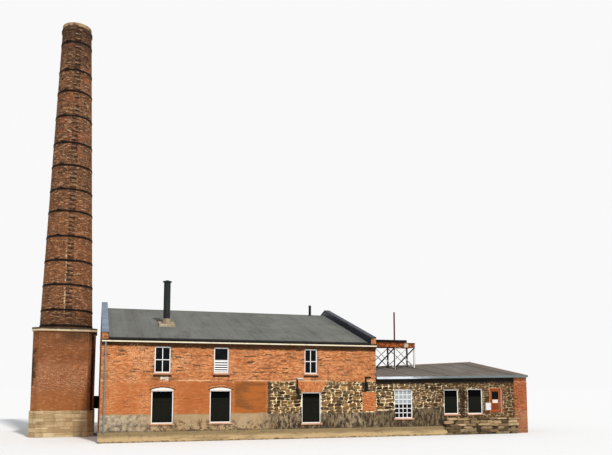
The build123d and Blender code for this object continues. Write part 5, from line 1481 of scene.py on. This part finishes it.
class FACTORY_OT_chimney_bricks(Operator):
    """Lays the bricks of the chimney's pedestal and shaft, and the stones of its base and ledge"""

    bl_idname = "factory.chimney_bricks"
    bl_label = "Chimney masonry"

    def execute(self, context):
        sizes = context.scene.factory_sizes
        faces, sides = prism_faces(PEDESTAL_LOW, PEDESTAL_HIGH)
        parts = [courses(0, side, BASE_HIGH[2], PEDESTAL_HIGH[2], sizes.brick, sizes.course)
                 for side in sides]
        to_block = 2
        middle, half = sides[to_block] / 2, (DUCT.right - DUCT.left) / 2
        parts[to_block] = cut(parts[to_block], [DUCT._replace(left=middle - half, right=middle + half)])
        blocks, face = wrapped(faces, [kept(part, 0.036, 0.029) for part in parts])
        frusta("pedestal_bricks", blocks, flat(face), "bricks_pedestal",
               generator(context, 21), 0.009, 0.005, sizes.joint)

        for part, low, high, course, radius_of, shift in (
                ("shaft", LEDGE_HIGH[2], SHAFT_NECK_Z, sizes.course, shaft_radius, 22),
                ("crown", SHAFT_NECK_Z + 0.06, CROWN_TOP_Z, 0.063, crown_radius, 23)):
            rng = generator(context, shift)
            rings = ring_blocks(low, high, course, sizes.brick, radius_of, rng)
            ring_frusta(f"{part}_bricks", rings, radius_of, rng, sizes.joint)

        for kind, low, high, heights, lengths, shift, proud in (
                ("base", BASE_LOW, BASE_HIGH, (0.26, 0.4), (0.4, 0.95), 24, 0.03),
                ("ledge", LEDGE_LOW, LEDGE_HIGH, (0.26, 0.27), (0.7, 1.2), 25, 0.008)):
            rng = generator(context, shift)
            faces, sides = prism_faces(low, high)
            parts = [kept(rubble_courses(0, side, low[2], high[2], heights, lengths, rng), 0.08, 0.08)
                     for side in sides]
            blocks, face = wrapped(faces, parts)
            frusta(f"{kind}_stones", blocks, flat(face), f"stones_{kind}", rng, proud, 0.014,
                   0.016, aspect=1.8)
        return {"FINISHED"}


class FACTORY_OT_rubble(Operator):
    """Lays the rubble stones of the block's front and of the wing's walls"""

    bl_idname = "factory.rubble"
    bl_label = "Rubble stones"

    def execute(self, context):
        sizes = context.scene.factory_sizes

        def lay(name, face, left, right, bottom, top, shift, holes=(), look="stones_wing",
                lengths=STONE_LENGTHS, roof=None):
            """Stones between four edges, without the holes and, where roof gives heights, 0.2 m under it."""
            rng = generator(context, shift)
            blocks = cut(rubble_courses(left, right, bottom, top, STONE_HEIGHTS, lengths, rng), holes)
            if roof is not None:
                blocks = chosen(blocks, roof((blocks.left + blocks.right) / 2) - 0.2 > blocks.top)
            domes(name, blocks, flat(face), look, rng, sizes.stone_proud)

        left_out = [hole_of(LOWER_RIGHT, 0.02),
                    Hole(PATCH.left - 0.02, PATCH.right + 1, PATCH.bottom - 0.05, PATCH.top + 0.02)]
        step = 0.12
        for low in np.arange(LOWER_RIGHT.head, STONE_TOP_Z, step):
            reach = fan_reach(low + step / 2)
            left_out.append(Hole(LOWER_RIGHT.middle - reach, LOWER_RIGHT.middle + reach, low, low + step))
        lay("block_stones", FRONT, STONE_START + 0.02, BLOCK_LENGTH, PLINTH_TOP_Z + 0.01, STONE_TOP_Z, 31,
            left_out, "stones_block")
        plinth_step = BLOCK_LENGTH + 2.8
        left_out = [Hole(BLOCK_LENGTH, plinth_step, 0, 1.98), Hole(plinth_step, ROCK_START, 0, 2.1)]
        left_out += [hole_of(o, 0.02) for o in (SASH, BOARDED_LEFT, BOARDED_RIGHT)]
        rocks = Hole(ROCK_START, BLOCK_LENGTH + WING_LENGTH, 0, 1.1)
        door = hole_of(DOORWAY, 0.01)
        pier = BLOCK_LENGTH + PIER_LOW[0] - WING_X
        lay("wing_stones_left", FRONT, BLOCK_LENGTH, door.left, 0.9, 4.02, 32, left_out + [rocks])
        lay("wing_stones_right", FRONT, door.right, pier, 0.9, 4.1, 33, [rocks])
        lay("door_head_stones", FRONT, door.left, door.right, DOORWAY.head + 0.02, 4.1, 34,
            lengths=(0.2, 0.4))
        lay("door_foot_stones", FRONT, door.left, door.right, 1.1, DOORWAY.sill - 0.01, 35,
            lengths=(0.25, 0.45))
        lay("end_wall_stones", moved(RIGHT, WING_END_X, FRONT_Y), 0.5, WING_DEPTH, 0.02, 5.9, 36,
            roof=lambda u: wing_roof_z(WING_LENGTH, u))
        lay("back_wall_stones", moved(BACK, WING_END_X, WING_BACK_Y), 0.0, WING_LENGTH, 0.02, 5.9, 37,
            roof=lambda u: wing_roof_z(WING_LENGTH - u, WING_DEPTH))
        return {"FINISHED"}


def pane_of(opening, sill=SILL_HEIGHT):
    """The rectangle inside a window's frame, over a sill of a height."""
    half = opening.width / 2 - FRAME_BAR
    return Hole(opening.middle - half, opening.middle + half, opening.sill + sill + FRAME_BAR,
                opening.head - FRAME_BAR)


def glazing_lines(face, pane, uprights=(0.5,), rails=(0.5,)):
    """Starts and ends of a window's glazing bars, at shares of its pane's width and height."""
    u = pane.left + (pane.right - pane.left) * np.array(uprights)
    z = pane.bottom + (pane.top - pane.bottom) * np.array(rails)
    return [on_face(face, np.append(u, side + 0 * z), np.append(end + 0 * u, z), BARS_OUT)
            for side, end in ((pane.left, pane.bottom), (pane.right, pane.top))]


class FACTORY_OT_window_bars(Operator):
    """Adds glazing bars, meeting rails and the pale panes of the wing's window"""

    bl_idname = "factory.window_bars"
    bl_label = "Window bars"

    def execute(self, context):
        sizes = context.scene.factory_sizes

        def fit(side, face, windows):
            starts, ends = (np.concatenate(rows) for rows in zip(*windows))
            bars(f"{side}_window_bars", starts, ends, face.outward, sizes.bar, 0.03, "white_paint")

        louvre_top = pane_of(UPPER_MIDDLE)._replace(bottom=(UPPER_SILL + SILL_HEIGHT + UPPER_HEAD) / 2)
        sash = pane_of(SASH)
        fit("front", FRONT, [glazing_lines(FRONT, pane_of(UPPER_LEFT)),
                             glazing_lines(FRONT, pane_of(UPPER_RIGHT)),
                             glazing_lines(FRONT, louvre_top, (), (0.0,))])
        fit("wing", FRONT, [glazing_lines(FRONT, sash, (0.25, 0.5, 0.75), np.arange(1, 6) / 6)])
        for side, face, openings in (("back", BACK, BACK_OPENINGS), ("left", LEFT, LEFT_OPENINGS),
                                     ("right", RIGHT, RIGHT_OPENINGS)):
            fit(side, face, [glazing_lines(face, pane_of(o, 0.0)) for o in openings])
        row = (sash.top - sash.bottom) / 6
        middle = sash.bottom + row * np.array((3.5, 4.5, 5.5))
        starts, ends = (on_face(FRONT, u, middle, -PANE_SETBACK - 0.001) for u in (sash.left, sash.right))
        bars("wing_pale_panes", starts, ends, FRONT.outward, row, 0.006, "pale_panes", bevel=0.1)
        return {"FINISHED"}


class FACTORY_OT_boards(Operator):
    """Nails the boards over the closed openings"""

    bl_idname = "factory.boards"
    bl_label = "Boarded openings"

    def execute(self, context):
        count, thickness = 7, 0.022
        for index, opening in enumerate((*ARCHED_OPENINGS, LOWER_RIGHT, BOARDED_LEFT, BOARDED_RIGHT)):
            rng = generator(context, 41 + index)
            pane = pane_of(opening)
            top = pane.top - (pane.top - pane.bottom) * 0.2
            edges = np.linspace(pane.left, pane.right, count + 1)
            middle = (edges[:-1] + edges[1:]) / 2
            starts = on_face(FRONT, middle, pane.bottom + 0.004, -PANE_SETBACK)
            ends = on_face(FRONT, middle, top + rng.uniform(-0.01, 0.01, count), -PANE_SETBACK)
            bars(f"opening_planks_{index}", starts, ends, FRONT.outward, edges[1] - edges[0] - 0.006,
                 thickness, "dark_boards", tone=rng.random(count))
            rails = np.array((pane.bottom + 0.25, top - 0.2))
            starts, ends = (on_face(FRONT, u, rails, thickness - PANE_SETBACK)
                            for u in (pane.left, pane.right))
            bars(f"opening_battens_{index}", starts, ends, FRONT.outward, 0.1, 0.02, "dark_boards",
                 tone=0.9)
        return {"FINISHED"}


class FACTORY_OT_roof_seams(Operator):
    """Adds the laps of the roof sheets, the ridge cap, the flashings and the joints of the copings"""

    bl_idname = "factory.roof_seams"
    bl_label = "Roof seams"

    def execute(self, context):
        sizes = context.scene.factory_sizes
        left, right = LEFT_X + GABLE_WALL, RIGHT_X - GABLE_WALL
        ridge_y = FRONT_Y + BLOCK_DEPTH / 2
        eaves_y = np.array((FRONT_Y - EAVE_OVERHANG, BACK_Y + EAVE_OVERHANG))
        eave_z = roof_z(-EAVE_OVERHANG)
        signs = np.array((-1, 1))
        lines = np.arange(left + sizes.seam, right - 0.3, sizes.seam)
        for side, eave_y, sign in zip(("front", "back"), eaves_y, signs):
            starts, ends = (points(lines, y, z - 0.002) for y, z in ((eave_y, eave_z), (ridge_y, RIDGE_Z)))
            bars(f"{side}_roof_laps", starts, ends, (0, sign * ROOF_SLOPE, 1), 0.09, 0.014, "roof_sheet",
                 bevel=0.45)
        half = 0.09
        starts, ends = (points(x, ridge_y + signs * half, RIDGE_Z - half * ROOF_SLOPE) for x in (left, right))
        bars("ridge_cap", starts, ends, points(0, signs * ROOF_SLOPE, 1), 0.2, 0.016, "roof_sheet")
        for side, x, facing in (("left", left, 1), ("right", right, -1)):
            starts, ends = points(x, eaves_y, eave_z + 0.2), points(x, [ridge_y, ridge_y], RIDGE_Z + 0.2)
            bars(f"{side}_flashing", starts, ends, (facing, 0, 0), 0.4, 0.014, "coping_dark",
                 bevel=0.1)
        steps = np.arange(0.4, BLOCK_DEPTH / 2, 1.6)
        steps = np.append(steps, BLOCK_DEPTH - steps)
        slope = np.where(steps < BLOCK_DEPTH / 2, -1, 1) * ROOF_SLOPE
        half = GABLE_WALL / 2 + 0.022
        for side, x, look, slot in (("left", LEFT_X + GABLE_WALL / 2, "coping_blue", "slate_blue_sheet"),
                                    ("right", RIGHT_X - GABLE_WALL / 2, "coping_dark", "dark_sheet")):
            starts = points(x - half, FRONT_Y + steps, roof_z(steps) + PARAPET_RISE + 0.068)
            bars(f"{side}_coping_joints", starts, starts + (2 * half, 0, 0), points(0, slope, 1), 0.07,
                 0.01, look, bevel=0.3)
        x = np.linspace(0.03, 0.985, 14) * WING_LENGTH
        starts, ends = (on_wing_roof(x, y, -0.002) for y in (-0.15, WING_DEPTH))
        bars("wing_roof_laps", starts, ends, (0, -0.1, 1), 0.1, 0.013, "wing_felt",
             bevel=0.45)
        back, sunk = WING_DEPTH - 0.06, -0.004
        front_end, back_end, corner = (on_wing_roof(WING_LENGTH, y, sunk) + (0.02, 0, 0)
                                       for y in (-0.12, WING_DEPTH, back))
        bars("wing_verge", [front_end, on_wing_roof(0, back, sunk)], [back_end, corner], UP, 0.12, 0.03,
             "cement")
        starts, ends = (points(RIGHT_X + 0.004, FRONT_Y + y, wing_roof_z(0, y) + 0.09)
                        for y in (-0.1, WING_DEPTH))
        bars("wing_roof_flashing", starts, ends, (1, 0, 0), 0.2, 0.014, "coping_blue",
             bevel=0.1)
        return {"FINISHED"}


class FACTORY_OT_gutters(Operator):
    """Adds the gutters' rims, dark with painted shade, and their straps, and the pipes' sockets and sleeves
    """

    bl_idname = "factory.gutters"
    bl_label = "Gutters and pipes"

    def execute(self, context):
        for side, face in (("front", FRONT), ("back", BACK)):
            low, high = box(f"block_{side}_gutter")
            y = low[1] if side == "front" else high[1]
            x = np.arange(low[0] + 0.4, high[0] - 0.2, 0.9)
            bars(f"{side}_gutter_straps", points(x, y, low[2]), points(x, y, high[2]), face.outward, 0.035,
                 0.006, "cream_paint")
            # A black rim along the gutter's top: the roof's dark edge, with the shade inside the gutter
            # painted into it
            z = high[2] - 0.038
            bars(f"{side}_gutter_rim_and_shade", (low[0], y, z), (high[0], y, z), face.outward, 0.085, 0.016,
                 "black_iron", bevel=0.4)
        low, high = box("block_downpipe")
        socket = [(0.049, 0), (0.057, 0.004), (0.057, 0.07), (0.053, 0.08), (0.049, 0.082)]
        for index, z in enumerate((2.4, 4.3, 6.1)):
            lathes(f"downpipe_socket_{index}", ((low[0] + high[0]) / 2, low[1] + 0.048, z), UP, socket, 24,
                   "grey_pipe")
        sleeve = [(0.03, 0), (0.062, 0.004), (0.066, 0.05), (0.058, 0.07)]
        for index, (left, top, arm, drop, look, slot) in enumerate((
                (13.5, 4.23, 0.42, 1.12, "brace_paint", "galvanised"),
                (BLOCK_LENGTH - 0.83, 4.33, 0.4, 0.9, "black_iron", "black_iron"))):
            corner = on_face(FRONT, left, top, 0.034)
            collar = drop * 0.6
            lathes(f"wall_pipe_arm_{index}", corner - 0.05 * FRONT.along, FRONT.along,
                   sleeve + [(0.058, arm - 0.02), (0.066, arm), (0.066, arm + 0.06), (0.03, arm + 0.064)], 16,
                   look)
            lathes(f"wall_pipe_drop_{index}", corner + 0.05 * UP, -UP,
                   sleeve + [(0.058, collar), (0.068, collar + 0.02), (0.068, collar + 0.1),
                             (0.058, collar + 0.12), (0.06, drop + 0.02), (0.03, drop + 0.03)], 16,
                   "black_iron")
        share = np.linspace(0.02, 0.98, 14)
        x, y = WING_X + share * WING_LENGTH, box("wing_gutter")[0][1]
        top = WING_EAVE_Z - 0.015 + share * WING_EAVE_RISE
        bars("wing_gutter_straps", points(x, y, top - 0.17), points(x, y, top), FRONT.outward, 0.04, 0.006,
             "gutter_steel")
        return {"FINISHED"}


# Rows of rocks from the top down: place before the wall, height, half height, half depth and number
ROCK_ROWS = ((0.1, 1.15, 0.11, 0.18, 7), (0.16, 0.92, 0.15, 0.16, 9), (0.27, 0.7, 0.12, 0.2, 7),
             (0.3, 0.47, 0.15, 0.18, 9), (0.36, 0.27, 0.13, 0.16, 7), (0.36, 0.09, 0.09, 0.15, 9))


class FACTORY_OT_rocks(Operator):
    """Piles the rough rock of the ledge under the wing"""

    bl_idname = "factory.rocks"
    bl_label = "Rock ledge"

    def execute(self, context):
        rng = generator(context, 61)
        length = ROCK_HIGH[0] - ROCK_LOW[0]
        centres, sizes = [], []
        for out, top, height, depth, count in ROCK_ROWS:
            x = ROCK_LOW[0] + (np.arange(count) + 0.5 + rng.uniform(-0.28, 0.28, count)) * length / count
            y = FRONT_Y - out + rng.uniform(-0.04, 0.02, count)
            centres.append(points(x, y, top + rng.uniform(-0.03, 0.03, count)))
            half_width = length / count * rng.uniform(0.46, 0.72, count)
            half_depth = depth * rng.uniform(0.85, 1.1, count)
            sizes.append(points(half_width, half_depth, height * rng.uniform(0.8, 1.15, count)))
        centres, sizes = np.concatenate(centres), np.concatenate(sizes)
        centres[:, 2] = np.maximum(centres[:, 2], sizes[:, 2] * 0.98)
        lumps("ledge_rocks", centres, sizes, "rock", rng)
        return {"FINISHED"}


class FACTORY_OT_ironwork(Operator):
    """Adds the straps, lugs and bolts of the chimney's hoops"""

    bl_idname = "factory.ironwork"
    bl_label = "Hoop bolts"

    def execute(self, context):
        across, back = math.cos(HOOP_CLASP_TURN), math.sin(HOOP_CLASP_TURN)
        radial, tangent = np.array((across, back, 0)), np.array((-back, across, 0))
        radii = shaft_radius(HOOP_LEVELS)
        hoops("hoop_straps", radii - 0.01, HOOP_LEVELS, 0.05, 0.12, 72, "black_iron")
        centres = points(CHIMNEY_X, CHIMNEY_Y, HOOP_LEVELS + 0.045) + (radii + 0.045)[:, None] * radial
        centres = centres - 0.1 * tangent
        lathes("hoop_bolts", centres, tangent, [(0.012, 0), (0.03, 0.001), (0.03, 0.025), (0.013, 0.026),
                                               (0.013, 0.174), (0.03, 0.175), (0.03, 0.199), (0.012, 0.2)], 6,
               "black_iron")
        bars("hoop_lugs", centres - 0.07 * tangent, centres + 0.27 * tangent, radial, 0.19, 0.05,
             "black_iron")
        return {"FINISHED"}


class FACTORY_OT_door(Operator):
    """Adds the door's facings, mouldings and bare plate, and the lid of the box beside it"""

    bl_idname = "factory.door"
    bl_label = "Door details"

    def execute(self, context):
        inset, edge = 0.066, 0.022
        left, right, y = DOOR_FRAME_LOW[0], DOOR_FRAME_HIGH[0], DOOR_FRAME_LOW[1]
        bottom, top = DOORWAY.sill, DOORWAY.head
        bars("door_facings",
             [(left + inset, y, bottom), (right - inset, y, bottom), (left + edge, y, top - inset)],
             [(left + inset, y, top - edge), (right - inset, y, top - edge), (right - edge, y, top - inset)],
             FRONT.outward, 0.088, 0.02, "orange_paint")
        left, right, y = LEAF_LOW[0] + 0.15, LEAF_HIGH[0] - 0.15, LEAF_LOW[1]
        panel = (LEAF_LOW[2] + 0.15, LEAF_LOW[2] + 0.77)
        pane = (LEAF_HIGH[2] - 0.82, LEAF_HIGH[2] - 0.12)
        starts, ends = [], []
        for low, high in (panel, pane):
            starts += [(left, y, low), (right, y, low), (left - 0.012, y, low), (left - 0.012, y, high)]
            ends += [(left, y, high), (right, y, high), (right + 0.012, y, low), (right + 0.012, y, high)]
        bars("door_mouldings", starts, ends, FRONT.outward, 0.03, 0.014, "orange_paint",
             "door", 0.4)
        z = (panel[1] + pane[0]) / 2 + 0.02
        bars("door_plate", (left + 0.1, y, z), (right - 0.1, y, z), FRONT.outward, 0.26, 0.008,
             "white_plastic", "door", 0.2)
        (left, y, low), (right, _, high) = box("wall_box")
        z = (low + high) / 2
        bars("wall_box_lid", (left + 0.012, y, z), (right - 0.012, y, z), FRONT.outward, high - low - 0.03,
             0.012, "white_plastic", bevel=0.5)
        lathes("wall_box_latch", (right - 0.06, y - 0.011, z), FRONT.outward,
               [(0.02, 0), (0.02, 0.012), (0.014, 0.016)], 16, "black_iron")
        return {"FINISHED"}


class FACTORY_OT_stand(Operator):
    """Adds the flanges, deck boards, braces and pale strips of the steel stand"""

    bl_idname = "factory.stand"
    bl_label = "Stand details"

    def execute(self, context):
        low, high = box("stand_top_frame")
        posts_low, posts_high = box("stand_posts")
        left, right, front = posts_low[0] + 0.075, posts_high[0] - 0.075, posts_low[1] + 0.075
        flanges = np.array((BEAM_FOOT_Z + 0.012, BEAM_TOP_Z - 0.012))
        bars("stand_flanges", points(left, low[1], flanges), points(right, low[1], flanges), FRONT.outward,
             0.024, 0.05, "stand_beam")
        count = 9
        edges = np.linspace(low[1], high[1], count + 1)
        middle = (edges[:-1] + edges[1:]) / 2
        starts, ends = (points(x, middle, DECK_TOP_Z) for x in (low[0], low[0] + 3.05))
        bars("stand_deck_boards", starts, ends, UP, edges[1] - edges[0] - 0.01, 0.03, "deck_boards",
             tone=generator(context, 71).random(count))
        reach = 0.055
        columns = np.linspace(left + reach, right - reach, 3)
        near, far = columns[:-1] + reach, columns[1:] - reach
        foot = wing_roof_z(far - WING_X, posts_low[1] - FRONT_Y + 0.13) + 0.085
        head = BEAM_FOOT_Z - 0.06
        bars("stand_dark_braces", points(near, front - 0.03, foot), points(far, front - 0.03, head),
             FRONT.outward, 0.1, 0.03, "black_steel")
        bars("stand_pale_brace", (far[1], front, foot[1]), (near[1], front, head), FRONT.outward, 0.07, 0.03,
             "brace_paint")
        x = columns[1:] + (0.03, -0.02)
        bars("stand_white_strips", points(x, front, (5.1, 5.2)), points(x, front, BEAM_FOOT_Z), FRONT.outward,
             (0.05, 0.09), 0.006, "white_paint")
        return {"FINISHED"}


CLASSES = (FactorySizes, FactoryColours, FACTORY_OT_stage, FACTORY_OT_finishes, FACTORY_OT_block_bricks,
           FACTORY_OT_arch_bricks, FACTORY_OT_chimney_bricks, FACTORY_OT_rubble, FACTORY_OT_window_bars,
           FACTORY_OT_boards, FACTORY_OT_roof_seams, FACTORY_OT_gutters, FACTORY_OT_rocks,
           FACTORY_OT_ironwork, FACTORY_OT_door, FACTORY_OT_stand)
STEPS = [cls for cls in CLASSES if issubclass(cls, Operator)]


class FACTORY_PT_panel(Panel):
    """The sidebar's list of sizes, colours and steps"""

    bl_idname = "FACTORY_PT_panel"
    bl_label = "Old Factory"
    bl_space_type = "VIEW_3D"
    bl_region_type = "UI"
    bl_category = "Factory"

    def draw(self, context):
        for group in (context.scene.factory_sizes, context.scene.factory_colours):
            for name in group.bl_rna.properties.keys():
                if name not in {"rna_type", "name"}:
                    self.layout.prop(group, name)
        for step in STEPS:
            self.layout.operator(step.bl_idname)


def register():
    for cls in (*CLASSES, FACTORY_PT_panel):
        bpy.utils.register_class(cls)
    bpy.types.Scene.factory_sizes = PointerProperty(type=FactorySizes)
    bpy.types.Scene.factory_colours = PointerProperty(type=FactoryColours)


def unregister():
    del bpy.types.Scene.factory_colours
    del bpy.types.Scene.factory_sizes
    for cls in reversed((*CLASSES, FACTORY_PT_panel)):
        bpy.utils.unregister_class(cls)


def main():
    """Registers the add-on and makes every group of pieces in order."""
    register()
    for step in STEPS:
        group, name = step.bl_idname.split(".")
        getattr(getattr(bpy.ops, group), name)()


if __name__ == "__main__":
    main()
